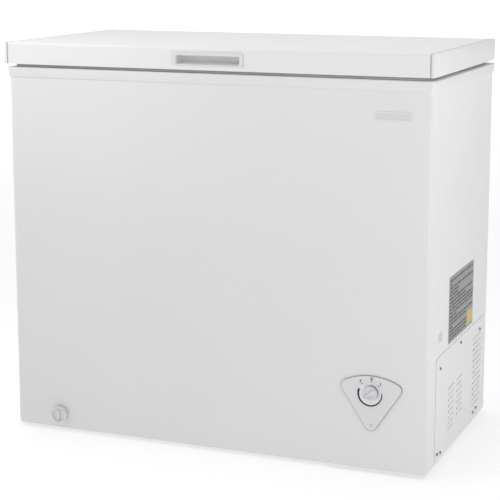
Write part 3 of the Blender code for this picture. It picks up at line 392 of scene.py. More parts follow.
def refined(node, mat, body, slot, ease=0.0003, segments=2):
    """A CAD node's own shape with eased edges."""
    return settle(eased(built(node + "_fine", welded(node), mat), ease, segments), body, slot, node)


def smooth_tube(node, mat, body, slot):
    """A CAD tube with its few sides made round."""
    bm = bmesh.new()
    bm.from_mesh(NODES[node].data)
    bmesh.ops.remove_doubles(bm, verts=bm.verts, dist=0.00001)
    bmesh.ops.join_triangles(
        bm, faces=bm.faces, angle_face_threshold=math.radians(25), angle_shape_threshold=math.radians(60)
    )
    obj = built(node + "_fine", bm, mat, sharp=180.0)
    round_off = obj.modifiers.new("round", "SUBSURF")
    round_off.levels = round_off.render_levels = 1
    return settle(obj, body, slot, node)


def returned(node, mat, body, slot, turn=UP, ease=0.0006, steps=48):
    """A turned CAD node again, with many more facets and rounded corners along its outline."""
    middle = centre(node)
    to_local = turn.to_4x4().inverted() @ Matrix.Translation(-middle)
    bm = welded(node)
    bm.transform(to_local)
    start = max(bm.verts, key=lambda v: v.co.xy.length)
    away = start.co.xy.normalized()
    on_line = [v for v in bm.verts if v.co.xy.length > 1e-6 and v.co.xy.normalized().dot(away) > 0.99999]
    chain = outline_of(on_line)
    closed = chain[0] in [e.other_vert(chain[-1]) for e in chain[-1].link_edges] and len(chain) > 3
    profile = [(v.co.xy.length, v.co.z) for v in chain]
    bm.free()
    if not closed:
        profile = [(0.0, profile[0][1]), *profile, (0.0, profile[-1][1])]
    profile = rounded(profile, ease, 2, closed)
    obj = placed(built(node + "_fine", lathe(profile, steps, closed), mat), turn, middle)
    return settle(obj, body, slot, node)


def outline_of(verts):
    """Vertices on one half-plane in the order in which the shape's edges join them."""
    wanted = set(verts)

    def near(v):
        return [e.other_vert(v) for e in v.link_edges if e.other_vert(v) in wanted]

    ends = [v for v in verts if len(near(v)) == 1]
    chain = [ends[0] if ends else verts[0]]
    while True:
        ahead = [v for v in near(chain[-1]) if v not in chain]
        if not ahead:
            return chain
        chain.append(ahead[0])


# ---- materials ----
class Surface:
    """A Principled material that is built up node by node from patterns in object coordinates."""

    def __init__(self, name, colour, roughness, metallic=0.0, **sockets):
        self.material = bpy.data.materials.new(name)
        self.material.use_nodes = True
        self.tree = self.material.node_tree
        self.shader = self.tree.nodes["Principled BSDF"]
        self.shader.inputs["Base Color"].default_value = (*colour, 1.0)
        self.shader.inputs["Roughness"].default_value = roughness
        self.shader.inputs["Metallic"].default_value = metallic
        for socket, value in sockets.items():
            self.shader.inputs[socket.replace("_", " ")].default_value = value
        self.colour, self.roughness = colour, roughness
        self.place = self.node("ShaderNodeTexCoord").outputs["Object"]
        self.material.diffuse_color = (*colour, 1.0)

    def node(self, kind, inputs=(), **settings):
        made = self.tree.nodes.new(kind)
        for key, value in settings.items():
            setattr(made, key, value)
        for key, value in dict(inputs).items():
            if isinstance(value, bpy.types.NodeSocket):
                self.tree.links.new(value, made.inputs[key])
            else:
                made.inputs[key].default_value = value
        return made

    def noise(self, scale, detail=3.0, stretch=None):
        vector = self.place
        if stretch:
            vector = self.node("ShaderNodeMapping", {"Vector": vector, "Scale": stretch}).outputs["Vector"]
        made = self.node("ShaderNodeTexNoise", {"Vector": vector, "Scale": scale, "Detail": detail})
        return made.outputs["Fac"]

    def cells(self, scale, feature="SMOOTH_F1", warp=0.0):
        vector = self.place
        if warp:
            shift = self.node("ShaderNodeTexNoise", {"Vector": self.place, "Scale": scale * 0.7})
            scaled = {0: shift.outputs["Color"], "Scale": warp}
            moved = self.node("ShaderNodeVectorMath", scaled, operation="SCALE")
            vector = self.node("ShaderNodeVectorMath", {0: vector, 1: moved.outputs[0]}).outputs[0]
        made = self.node("ShaderNodeTexVoronoi", {"Vector": vector, "Scale": scale}, feature=feature)
        return made.outputs["Distance"]

    def between(self, factor, low, high, start=0.3, end=0.7):
        limits = {"Value": factor, "From Min": start, "From Max": end, "To Min": low, "To Max": high}
        return self.node("ShaderNodeMapRange", limits).outputs["Result"]

    def tint(self, factor, change, start=0.3, end=0.7):
        """The colour drifts from a little darker to a little lighter."""
        dark = [c * (1 - change) for c in self.colour]
        light = [min(1.0, c * (1 + change)) for c in self.colour]
        share = self.between(factor, 0.0, 1.0, start, end)
        mix = self.node("ShaderNodeMix", {"Factor": share}, data_type="RGBA")
        mix.inputs[6].default_value = (*dark, 1.0)
        mix.inputs[7].default_value = (*light, 1.0)
        self.tree.links.new(mix.outputs[2], self.shader.inputs["Base Color"])

    def gloss(self, factor, change):
        varied = self.between(factor, self.roughness - change, self.roughness + change)
        self.tree.links.new(varied, self.shader.inputs["Roughness"])

    def bump(self, height, depth, strength=1.0):
        """Adds relief of a real depth in metres on top of any that is there already."""
        inputs = {"Height": height, "Distance": depth, "Strength": strength}
        before = self.shader.inputs["Normal"].links
        if before:
            inputs["Normal"] = before[0].from_socket
        made = self.node("ShaderNodeBump", inputs)
        self.tree.links.new(made.outputs["Normal"], self.shader.inputs["Normal"])


def textured(name, colour, roughness, tint, gloss, *bumps, metallic=0.0, **sockets):
    """A material whose colour, gloss and relief follow noise.

    Tint and gloss are (scale, detail, change), each bump is (scale, detail, depth, strength).
    """
    made = Surface(name, colour, roughness, metallic, **sockets)
    made.tint(made.noise(*tint[:2]), tint[2])
    if gloss:
        made.gloss(made.noise(*gloss[:2]), gloss[2])
    for scale, detail, depth, strength in bumps:
        made.bump(made.noise(scale, detail), depth, strength)
    return made


def painted(name, colour, roughness=0.34, peel=0.000006, coat=0.12):
    """Powder-coated sheet: slight orange peel, a long soft waviness, and patches of higher gloss."""
    relief = (2.2, 1.0, 0.0006, 0.6), (380.0, 1.0, peel, 1.0)
    coating = {"Coat_Weight": 0.25, "Coat_Roughness": coat}
    made = textured(name, colour, roughness, (3.0, 3.0, 0.012), (14.0, 5.0, 0.03), *relief, **coating)
    return made.material


def moulded(name, colour, roughness=0.42, grain=0.00001, scale=900.0, **sockets):
    """Moulded plastic: fine spark-eroded grain and faint flow marks."""
    relief = (12.0, 2.0, 0.0002, 0.5), (scale, 2.0, grain, 1.0)
    made = textured(name, colour, roughness, (9.0, 4.0, 0.015), (30.0, 4.0, 0.03), *relief, **sockets)
    return made.material


def rolled(name, colour, roughness=0.36, stretch=(1.0, 1.0, 1.0), spangle=0.0):
    """Rolled or zinc-coated steel: fine drawn lines, and crystals where it is galvanised."""
    made = Surface(name, colour, roughness, 1.0)
    lines = made.noise(160.0, 5.0, stretch)
    if spangle:
        made.tint(made.cells(spangle, "F1"), 0.10, 0.0, 0.8)
    else:
        made.tint(lines, 0.06)
    made.gloss(lines, 0.06)
    made.bump(lines, 0.00003)
    return made.material


def stucco(name, colour):
    """Embossed aluminium sheet: a pebbled relief of cells about 5 mm wide."""
    made = Surface(name, colour, 0.40, 0.55)
    pebbles = made.cells(210.0, warp=0.0035)
    made.tint(pebbles, 0.05, 0.1, 0.7)
    made.gloss(made.noise(25.0, 4.0), 0.04)
    made.bump(pebbles, 0.0005, 0.8)
    made.bump(made.noise(900.0, 2.0), 0.00003)
    return made.material


def foamed(name, colour):
    """Rigid polyurethane: open pores and a darker skin in places."""
    made = textured(name, colour, 0.92, (35.0, 6.0, 0.16), None, (90.0, 4.0, 0.0015, 0.7))
    made.bump(made.cells(420.0), 0.0006, 0.8)
    return made.material


def soft_vinyl(name, colour, roughness=0.55):
    relief = (1200.0, 2.0, 0.00004, 1.0)
    made = textured(name, colour, roughness, (40.0, 4.0, 0.04), (60.0, 3.0, 0.06), relief, Sheen_Weight=0.15)
    return made.material


def drawn_tube(name, colour):
    """Drawn copper or aluminium tube, dulled in patches by handling."""
    relief = (500.0, 3.0, 0.00003, 1.0)
    return textured(name, colour, 0.38, (45.0, 5.0, 0.16), (55.0, 5.0, 0.09), relief, metallic=1.0).material


def printed(name, colour, roughness=0.35):
    """Screen-printed ink, a little uneven."""
    relief = (2500.0, 3.0, 0.00001, 1.0)
    return textured(name, colour, roughness, (300.0, 4.0, 0.06), (120.0, 3.0, 0.05), relief).material


def clear_lens(name, colour):
    clear = {"Transmission_Weight": 0.1, "Coat_Weight": 0.6, "Coat_Roughness": 0.05}
    made = textured(name, colour, 0.12, (200.0, 3.0, 0.06), None, **clear)
    made.bump(made.cells(1400.0), 0.00004)
    return made.material


def coated_wire(name, colour):
    """Wire dipped in white polyethylene: glossy, with soft runs."""
    runs, dip = (220.0, 2.0, 0.00015, 0.6), {"Coat_Weight": 0.3, "Coat_Roughness": 0.08}
    return textured(name, colour, 0.22, (30.0, 3.0, 0.03), (80.0, 3.0, 0.04), runs, **dip).material


def foil(name, colour):
    made = Surface(name, colour, 0.38, 0.55)
    made.tint(made.noise(260.0, 4.0, (1.0, 14.0, 1.0)), 0.05)
    made.gloss(made.noise(90.0, 4.0), 0.06)
    made.bump(made.noise(30.0, 2.0), 0.0001, 0.5)
    return made.material


WHITE_STEEL = painted("white_steel", (0.80, 0.80, 0.80))
LID_STEEL = painted("lid_steel", (0.84, 0.84, 0.84), 0.40, coat=0.40)
BLACK_STEEL = painted("black_steel", (0.022, 0.022, 0.024), 0.32, 0.00004)
ZINC = rolled("zinc_steel", (0.60, 0.61, 0.62), 0.38, (1.0, 1.0, 18.0), spangle=70.0)
BRIGHT_STEEL = rolled("bright_steel", (0.66, 0.66, 0.66))
SCREW_STEEL = rolled("screw_steel", (0.26, 0.26, 0.265))
WHITE_PLASTIC = moulded("white_plastic", (0.79, 0.79, 0.785))
TRIM_PLASTIC = moulded("trim_plastic", (0.80, 0.80, 0.80), 0.33, 0.000008)
# Grip moulding a little darker than the trim: painted shade, so that the pocket reads darker.
SHADED_HANDLE_PLASTIC = moulded("handle_plastic", (0.74, 0.74, 0.74), 0.34, 0.000008)
TRAY_PLASTIC = moulded("tray_plastic", (0.80, 0.80, 0.795), 0.33, 0.00002, 700.0)
PANEL_PLASTIC = moulded("panel_plastic", (0.765, 0.765, 0.77), 0.33, 0.00001, Coat_Weight=0.2)
KNOB_PLASTIC = moulded("knob_plastic", (0.72, 0.73, 0.74), 0.20, 0.000008, Metallic=0.22, Coat_Weight=0.4)
# Dark grey for the knob's side wall: painted shade, standing in for the shadow gap round the knob.
KNOB_SHADE_BAND = moulded("knob_painted_shade_band", (0.20, 0.205, 0.21), 0.33, 0.000008, Metallic=0.30)
BADGE_PLASTIC = moulded("badge_plastic", (0.70, 0.703, 0.71), 0.33, 0.000008)
GREY_PLASTIC = moulded("grey_plastic", (0.60, 0.605, 0.61), 0.33)
DIAL_PLASTIC = moulded("dial_plastic", (0.76, 0.765, 0.77), 0.22, 0.000008, Coat_Weight=0.3)
BLACK_PLASTIC = moulded("black_plastic", (0.025, 0.025, 0.027), 0.5, 0.00006)
STUCCO = stucco("stucco_aluminium", (0.90, 0.905, 0.91))
ALUMINIUM = drawn_tube("aluminium_tube", (0.72, 0.72, 0.73))
COPPER = drawn_tube("copper_tube", (0.74, 0.36, 0.22))
FOAM = foamed("insulating_foam", (0.80, 0.70, 0.44))
VINYL = soft_vinyl("gasket_vinyl", (0.56, 0.56, 0.55))
RUBBER = soft_vinyl("black_rubber", (0.022, 0.022, 0.022), 0.72)
LENS = clear_lens("lamp_lens", (0.76, 0.79, 0.77))
FOIL = foil("label_foil", (0.27, 0.28, 0.285))
WIRE = coated_wire("coated_wire", (0.82, 0.82, 0.82))
DARK_INK = printed("dark_ink", (0.015, 0.018, 0.045))
# Dark grey of the thin band round the fascia: partly a seal edge, partly painted contact shadow.
SEAL_AND_SHADOW_INK = printed("seal_and_shadow_ink", (0.20, 0.205, 0.21))
HALO_INK = printed("halo_ink", (0.86, 0.865, 0.91))
LABEL_INK = printed("label_ink", (0.035, 0.038, 0.04), 0.45)
AMBER_INK = printed("amber_ink", (0.62, 0.45, 0.09), 0.4)


# ---- cabinet ----
def cabinet_shell():
    """Front and both sides in one bent sheet, with the openings behind the cover and the drain."""
    low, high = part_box("cabinet_wrap")
    bend, sheet, steps = 0.009, 0.0008, 12
    path = [(low.x, high.y), *arc(low.x + bend, low.y + bend, bend, 180, 270, steps)]
    path += [*arc(high.x - bend, low.y + bend, bend, 270, 360, steps), (high.x, high.y)]
    bm = bmesh.new()
    rows = [[bm.verts.new((*p, z)) for p in path] for z in (low.z, high.z)]
    for i in range(len(path) - 1):
        bm.faces.new((rows[0][i], rows[0][i + 1], rows[1][i + 1], rows[1][i]))
    shell = thick(built("cabinet_shell", bm, WHITE_STEEL, recalc=False), sheet)
    cover_low, cover_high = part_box("vent_cover")
    front, rear, below, above = 0.054, 0.014, 0.024, 0.0315  # how far the cover laps over the opening's edges
    window_low = (high.x - 0.02, cover_low.y + front, cover_low.z + below)
    window_high = (high.x + 0.01, cover_high.y - rear, cover_high.z - above)
    cut(shell, block("window", window_low, window_high))
    sleeve = centre("drain_sleeve")
    cut(shell, drill(0.0115, 0.05, FRONT, (sleeve.x, low.y, sleeve.z)))
    return settle(eased(shell, 0.00025, 2, 60.0), "cabinet", "white_painted_steel", "cabinet_wrap")


def collar_frame():
    """Moulded frame on top of the cabinet: tapered skirt, soft rim, ledge for the basket, channel below."""
    low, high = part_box("top_collar")
    cab_low, cab_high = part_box("cabinet_wrap")
    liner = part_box("inner_liner")[1]
    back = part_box("back_panel")[1].y
    mouth = Vector((liner.x - 0.0045, liner.y - 0.0045))
    top, ledge, foot = high.z, high.z - 0.012, low.z
    channel_top = top - 0.003
    square = 0.0006  # the corners at the back

    def outer(inset, z):
        front = max(0.010 - inset, 0.001)
        return at_height(footprint(low, high, (square, square, front, front), grow=-inset), z)

    def inner(grow, z):
        return at_height(footprint(-mouth, mouth, max(0.020 + grow, 0.001), grow=grow), z)

    def steel(z):
        corners = (square, square, 0.0088, 0.0088)
        return at_height(footprint(cab_low, (cab_high.x, back), corners, grow=0.0004), z)

    rings = [steel(foot), outer(0.0024, foot), outer(0.0020, foot + 0.0005)]
    rings += [outer(0.0002, top - 0.0030), outer(0.0, top - 0.0018), outer(0.0003, top - 0.0008)]
    rings += [outer(0.0012, top - 0.0001), outer(0.0022, top), inner(0.0016, top)]
    rings += [inner(0.0006, top - 0.0004), inner(0.0, top - 0.0014), inner(0.0, ledge + 0.0016)]
    rings += [inner(-0.0005, ledge + 0.0005), inner(-0.0016, ledge), inner(-0.0068, ledge)]
    rings += [inner(-0.0077, ledge - 0.0004), inner(-0.0080, ledge - 0.0014), inner(-0.0080, foot)]
    rings += [inner(0.0031, foot), inner(0.0031, channel_top), steel(channel_top)]
    obj = built("collar_frame", loft(rings, closed=True), WHITE_PLASTIC, sharp=55.0)
    return settle(obj, "cabinet", "white_plastic", "top_collar")


STEP_EDGE = (0.215, 0.272)  # x and z of the edge of the liner's step over the compressor


def liner_tub():
    """Embossed tub with rounded corners and the step over the compressor."""
    low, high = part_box("inner_liner")
    (step_x, step_top), sheet, corner, bend = STEP_EDGE, 0.001, 0.016, 0.006
    outline = [(low.x, high.z), (low.x, low.z), (step_x, low.z), (step_x, step_top), (high.x, step_top)]
    outline.append((high.x, high.z))
    bm = bmesh.new()
    face = bm.faces.new([bm.verts.new(p) for p in at_depth(outline, low.y)])
    grown = bmesh.ops.extrude_face_region(bm, geom=[face])["geom"]
    moved = [v for v in grown if isinstance(v, bmesh.types.BMVert)]
    bmesh.ops.translate(bm, vec=(0.0, high.y - low.y, 0.0), verts=moved)
    bmesh.ops.recalc_face_normals(bm, faces=bm.faces)
    mouth = [f for f in bm.faces if f.calc_center_median().z > high.z - 0.001]
    bmesh.ops.delete(bm, geom=mouth, context="FACES")
    corners = []
    for edge in bm.edges:
        a, b = (v.co for v in edge.verts)
        if abs(a.z - b.z) > 0.01 and abs(a.x) > abs(step_x) + 0.01:
            corners.append(edge)
    bmesh.ops.bevel(bm, geom=corners, offset=corner, segments=8, profile=0.5, affect="EDGES")
    bends = [e for e in bm.edges if not e.is_boundary and e.calc_face_angle(0.0) > math.radians(60)]
    bmesh.ops.bevel(bm, geom=bends, offset=bend, segments=4, profile=0.5, affect="EDGES")
    tub = thick(built("liner_tub", bm, STUCCO, sharp=70.0), sheet)
    plug = centre("floor_drain_plug")
    cut(tub, drill(0.010, 0.01, UP, (plug.x, plug.y, low.z)))
    tub.data.shade_smooth()
    tub.data.set_sharp_from_angle(angle=math.radians(50))
    return settle(tub, "cabinet", "liner_aluminium", "inner_liner")


SCREWS = [f"vent_screw_{i}" for i in range(1, 8)]
SLOT_BANKS = (  # front end, rear end, lowest slot, number of slots
    (-0.080, -0.038, 0.0535, 8),
    (-0.010, 0.032, 0.0670, 7),
    (0.131, 0.198, 0.0440, 13),
)
SLOT_PITCH, SLOT_HEIGHT = 0.0127, 0.0036
# A plate lying flat is stood up against the side: its X runs along world Y, its Y runs up.
STANDING_SIDE = Matrix(((0, 0, 1), (1, 0, 0), (0, 1, 0)))
STANDING_FRONT = Matrix(((1, 0, 0), (0, 0, -1), (0, 1, 0)))


def vent_plate():
    """Screwed-on cover with three banks of slots."""
    low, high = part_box("vent_cover")
    slots = []
    for start, end, lowest, count in SLOT_BANKS:
        slots += [(start, end, lowest + SLOT_PITCH * i) for i in range(count)]
    outlines = [footprint(low.yz, high.yz, 0.004)]
    outlines += [stadium(start, end, z, SLOT_HEIGHT) for start, end, z in slots]
    for screw in SCREWS:
        a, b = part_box(screw)
        outlines.append(circle((a.y + b.y) / 2, (a.z + b.z) / 2, 0.0021))
    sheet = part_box("cabinet_wrap")[1].x
    flat = plate("flat", outlines, high.x - sheet, 0.0005, WHITE_STEEL)
    placed(flat, STANDING_SIDE, ((sheet + high.x) / 2, 0.0, 0.0))
    hoods = [louvre(start - 0.002, end + 0.002, z, high.x - 0.0001) for start, end, z in slots]
    return settle(joined("vent_plate", [flat, *hoods]), "cabinet", "white_painted_steel", "vent_cover")


def louvre(y0, y1, z, x, proud=0.0017, steps=14, ribs=5):
    """A pressed hood that starts above a slot, swells outwards over it, and is open below."""
    top, lip = z + SLOT_HEIGHT * 0.75, z - SLOT_HEIGHT * 0.25
    bm = bmesh.new()
    rows = []
    for i in range(steps + 1):
        t = i / steps
        swell = max(1.0 - abs(2 * t - 1) ** 6, 0.0) ** 0.5
        row = []
        for k in range(ribs + 1):
            a = math.pi / 2 * k / ribs
            drop = (top - lip) * swell * (1 - math.cos(a))
            row.append(bm.verts.new((x + proud * swell * math.sin(a), y0 + (y1 - y0) * t, top - drop)))
        rows.append(row)
    for a, b in zip(rows, rows[1:]):
        for k in range(ribs):
            bm.faces.new((a[k], a[k + 1], b[k + 1], b[k]))
    bmesh.ops.remove_doubles(bm, verts=bm.verts, dist=0.00001)
    return thick(built("hood", bm, WHITE_STEEL, recalc=False), 0.0004)


def cover_screws():
    """Pan-head screws with a cross recess, each turned its own way."""
    chance = random.Random(7)
    for screw in SCREWS:
        low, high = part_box(screw)
        length = high.x - low.x
        head, shank, tip, threads = 0.0022, 0.0017, 0.002, 7
        profile = [(0.0, 0.0), (0.0012, -0.00005), (0.0024, -0.0005), (0.0033, -0.0013)]
        profile += [(0.0036, -head + 0.0002), (0.0034, -head), (shank, -head)]
        for i in range(threads):
            z = -head - 0.0008 - (length - head - tip) * i / threads
            profile += [(shank - 0.0003, z), (shank, z - 0.0004)]
        profile += [(shank - 0.0003, -length + tip), (0.0, -length)]
        body = built(screw + "_fine", lathe(profile, 32), SCREW_STEEL)
        for angle in (0.0, math.pi / 2):
            blade = block("blade", (-0.0019, -0.0003, -0.0012), (0.0019, 0.0003, 0.001))
            cut(body, placed(blade, Matrix.Rotation(angle, 3, "Z"), Vector()))
        turn = SIDE @ Matrix.Rotation(chance.uniform(0, math.pi), 3, "Z")
        placed(body, turn, (high.x, *centre(screw).yz))
        body.data.set_sharp_from_angle(angle=math.radians(40))
        settle(body, "cabinet", "screw_steel", screw)


def name_badge():
    """Blank plate: a raised rim round a slightly sunk field."""
    low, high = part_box("name_plate")
    depth, rim = high.y - low.y, 0.0020
    profile = [(0.0, 1.0), (0.0, 0.3), (0.0002, 0.08), (0.0006, 0.0), (rim - 0.0002, 0.0)]
    profile += [(rim + 0.0002, 0.3), (rim + 0.0008, 0.4)]
    rings = []
    for inset, share in profile:
        radius = max(0.0018 - inset, 0.0004)
        outline = footprint(low.xz, high.xz, radius, grow=-inset)
        rings.append(at_depth(outline, low.y + share * depth))
    badge = built("name_badge", loft(rings), TRIM_PLASTIC, BADGE_PLASTIC, sharp=50.0)
    for face in badge.data.polygons:
        x, y, z = face.center
        inside = low.x + rim < x < high.x - rim and low.z + rim < z < high.z - rim
        if inside and y < high.y - 1e-5:
            face.material_index = 1
    return settle(badge, "cabinet", "grey_plastic", "name_plate")


PRINT = (0.00006, 0.00001)  # thickness and eased edge of what is printed


def sticker(name, outlines, thickness, ease, mat, x, slot="label_foil", nodes=()):
    """A flat piece on the right-hand side, with its middle at x."""
    made = plate(name, outlines, thickness, ease, mat)
    placed(made, STANDING_SIDE, (x, 0.0, 0.0))
    return settle(made, "cabinet", slot, *nodes)


def rating_plate():
    """Foil plate with rows of plain dark bars and a plain amber patch, none of them lettering."""
    low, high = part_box("rating_label")
    base = footprint(low.yz, high.yz, 0.002)
    sticker("rating_plate", [base], 0.00024, 0.00005, FOIL, low.x + 0.00012, nodes=["rating_label"])
    chance = random.Random(11)
    margin, rows = 0.005, 17
    pitch = (high.z - low.z - 2 * margin) / rows
    patch_low, patch_high = Vector((0.064, low.z + 0.005)), Vector((high.y - 0.004, low.z + 0.036))
    bars, half = [], pitch * 0.27
    for row in range(rows):
        z = high.z - margin - pitch * (row + 0.5)
        end = high.y - margin
        if z - pitch < patch_high.y:
            end = patch_low.x - margin
        y = low.y + margin
        while y < end - 0.006:
            length = min(chance.uniform(0.008, 0.044), end - y)
            bars.append(footprint((y, z - half), (y + length, z + half), 0.0003, 2))
            y += length + chance.uniform(0.0025, 0.005)
            if chance.random() < 0.10:
                break
    on_foil, patch = low.x + 0.00029, footprint(patch_low, patch_high, 0.001, 3)
    sticker("rating_bars", bars, *PRINT, LABEL_INK, on_foil)
    sticker("rating_patch", [patch], *PRINT, AMBER_INK, on_foil)
    stub = footprint((-0.168, 0.262), (-0.138, 0.281), 0.001, 3)
    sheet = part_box("cabinet_wrap")[1].x
    sticker("serial_strip", [stub], 0.0002, 0.00004, GREY_PLASTIC, sheet + 0.00014, "grey_plastic")


# ---- controls ----
PANEL_CORNER = (0.050, 0.1784, 0.013)  # offset from the middle, height, radius
PANEL_TIP = (0.1026, 0.0125)  # height, radius
PANEL_CROWN = 0.128
KNOB_ANGLE = math.radians(233.7)  # clockwise from the zero mark at the top
SCALE_SHIFT = Vector((-0.0030, -0.0035))  # the scale is a little left of the knob's axis, and below it
KNOB_X, _, KNOB_Z = next(joint["pos_m"] for joint in frame["joints"] if joint["name"] == "thermostat_turn")


def panel_outline(grow=0.0):
    """Three round corners and a crowned top, tangent to one another, drawn larger by grow."""
    offset, height, radius = PANEL_CORNER
    tip, tip_radius = PANEL_TIP
    side = math.degrees(math.atan2(-offset, -(height - tip)))
    reach = PANEL_CROWN - radius
    crown = math.degrees(math.acos(offset / reach))
    crown_centre = height - math.sqrt(reach**2 - offset**2)
    points = arc(0.0, crown_centre, PANEL_CROWN + grow, crown, 180 - crown, 24)
    points += arc(-offset, height, radius + grow, 180 - crown, 360 + side, 12)[1:]
    points += arc(0.0, tip, tip_radius + grow, 360 + side, 180 - side, 14)
    points += arc(offset, height, radius + grow, -180 - side, crown, 12)[:-1]
    return points


def clock(radius, degrees, shift=SCALE_SHIFT):
    """The point clockwise from the top, seen from the knob's axis, on a circle that may be off centre."""
    a = math.radians(degrees)
    towards = Vector((math.sin(a), math.cos(a)))
    along = towards.dot(shift)
    reach = along + math.sqrt(along**2 - shift.length_squared + radius**2)
    return (KNOB_X + reach * towards.x, KNOB_Z + reach * towards.y)


def controls():
    """Fascia with holes for the knob and the lamp, its dark outline of seal and painted shadow, and the
    printed scale.
    """
    low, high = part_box("control_panel")
    middle_x, thickness = (low.x + high.x) / 2, high.y - low.y
    holes = [circle(KNOB_X - middle_x, KNOB_Z, 0.0042), circle(0.0, centre("power_lamp").z, 0.0030)]
    panel = plate("fascia", [panel_outline(), *holes], thickness, 0.0005, PANEL_PLASTIC)
    placed(panel, STANDING_FRONT, (middle_x, (low.y + high.y) / 2, 0.0))
    settle(panel, "cabinet", "panel_plastic", "control_panel")
    rim = thickness - 0.0006
    # A dark band round the fascia's edge: partly a seal, partly painted shadow where the panel meets the
    # sheet.
    seal_and_shadow_band = plate("fascia_seal_and_shadow", [panel_outline(0.0007), panel_outline(-0.0004)], rim, 0.0001, SEAL_AND_SHADOW_INK)
    placed(seal_and_shadow_band, STANDING_FRONT, (middle_x, high.y - rim / 2, 0.0))
    settle(seal_and_shadow_band, "cabinet", "grey_plastic")

    def mark(name, outlines, ink, lift=0.00004):
        made = plate(name, outlines, *PRINT, ink)
        placed(made, STANDING_FRONT, (0.0, low.y - lift, 0.0))
        settle(made, "cabinet", "panel_plastic")

    halo_edge, hub_edge, crescent, dot_ring, digit_ring = 0.0236, 0.0060, 0.0246, 0.0262, 0.0316
    halo = [clock(halo_edge, degrees) for degrees in range(0, 360, 6)]
    hub = [clock(hub_edge, degrees, Vector((0.0, 0.0))) for degrees in range(0, 360, 15)]
    mark("dial_halo", [halo, hub], HALO_INK)
    start, end, steps = 90, 283, 48
    outside, inside = [], []
    for i in range(steps + 1):
        share = i / steps
        width = 0.0007 + 0.0014 * share**0.5
        outside.append(clock(crescent + width, start + (end - start) * share))
        inside.append(clock(crescent - width, start + (end - start) * share))
    mark("dial_crescent", [outside + inside[::-1]], DARK_INK)
    settings = {"0": 0, "1": 45, "7": 311}
    dots = [circle(*clock(dot_ring, degrees), 0.0012, 14) for degrees in settings.values()]
    mark("dial_dots", dots, DARK_INK, 0.00011)
    for text, degrees in settings.items():
        digit(text, *clock(digit_ring, degrees), low.y - 0.00005)


def digit(text, x, z, y):
    """A plain numeral of the scale."""
    curve = bpy.data.curves.new("digit", "FONT")
    curve.body = text
    curve.size = 0.0086
    curve.align_x = "CENTER"
    curve.align_y = "CENTER"
    curve.extrude = 0.00003
    curve.offset = 0.00035
    obj = placed(finished(f"dial_number_{text}", filled(curve), DARK_INK), STANDING_FRONT, (x, y, z))
    return settle(obj, "cabinet", "panel_plastic")


def temperature_knob():
    """Flat round skirt drawn out to a pointer, a dished face, and a grip ridge across it. The skirt's side
    wall is dark, as painted shade.
    """
    front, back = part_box("thermostat_knob")[0].y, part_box("control_panel")[0].y - 0.0003
    length, skirt, radius, bore = back - front, 0.0068, 0.0145, 0.0032
    profile = [(0.0, -0.012), (bore, -0.012), (bore, 0.0), (radius - 0.0006, 0.0), (radius, 0.0006)]
    profile += [(radius, skirt - 0.0014), (radius - 0.0004, skirt - 0.0004), (radius - 0.0013, skirt)]
    profile += [(radius - 0.0024, skirt - 0.0002), (radius - 0.0040, skirt - 0.0010), (0.0, skirt - 0.0016)]
    body = built("knob_body", lathe(profile, 72), KNOB_PLASTIC, KNOB_SHADE_BAND, sharp=50.0)
    deep, ridge_foot = skirt - 0.0014, 0.0030
    tall = length - 0.0002 - ridge_foot
    outline = teardrop(radius - 0.0004, 0.0190, 0.0021)
    pointer = plate("knob_pointer", [outline], deep, 0.0007, KNOB_PLASTIC)
    placed(pointer, UP, (0.0, 0.0, 0.0001 + deep / 2))
    outline = teardrop(0.0028, 0.0172, 0.0014, -0.0098)
    ridge = plate("knob_ridge", [outline], tall, 0.0012, KNOB_PLASTIC)
    placed(ridge, UP, (0.0, 0.0, ridge_foot + tall / 2))
    line = plate("knob_line", [stadium(-0.0030, 0.0030, 0.0, 0.0009)], 0.0002, 0.00004, DARK_INK)
    placed(line, QUARTER_TURN, (0.0, 0.0128, length - 0.0002))
    knob = joined("knob_turned", [body, pointer, ridge, line])
    # The skirt's side wall takes the dark band of painted shade.
    rim = knob.data.materials.find(KNOB_SHADE_BAND.name)
    for face in knob.data.polygons:
        away, height = face.center.xy.length, face.center.z
        if abs(face.normal.z) < 0.5 and 0.0 < height < skirt and away > radius - 0.002:
            face.material_index = rim
    placed(knob, FRONT @ Matrix.Rotation(-KNOB_ANGLE, 3, "Z"), (KNOB_X, back, KNOB_Z))
    return settle(knob, "thermostat_knob", "knob_plastic", "thermostat_knob")


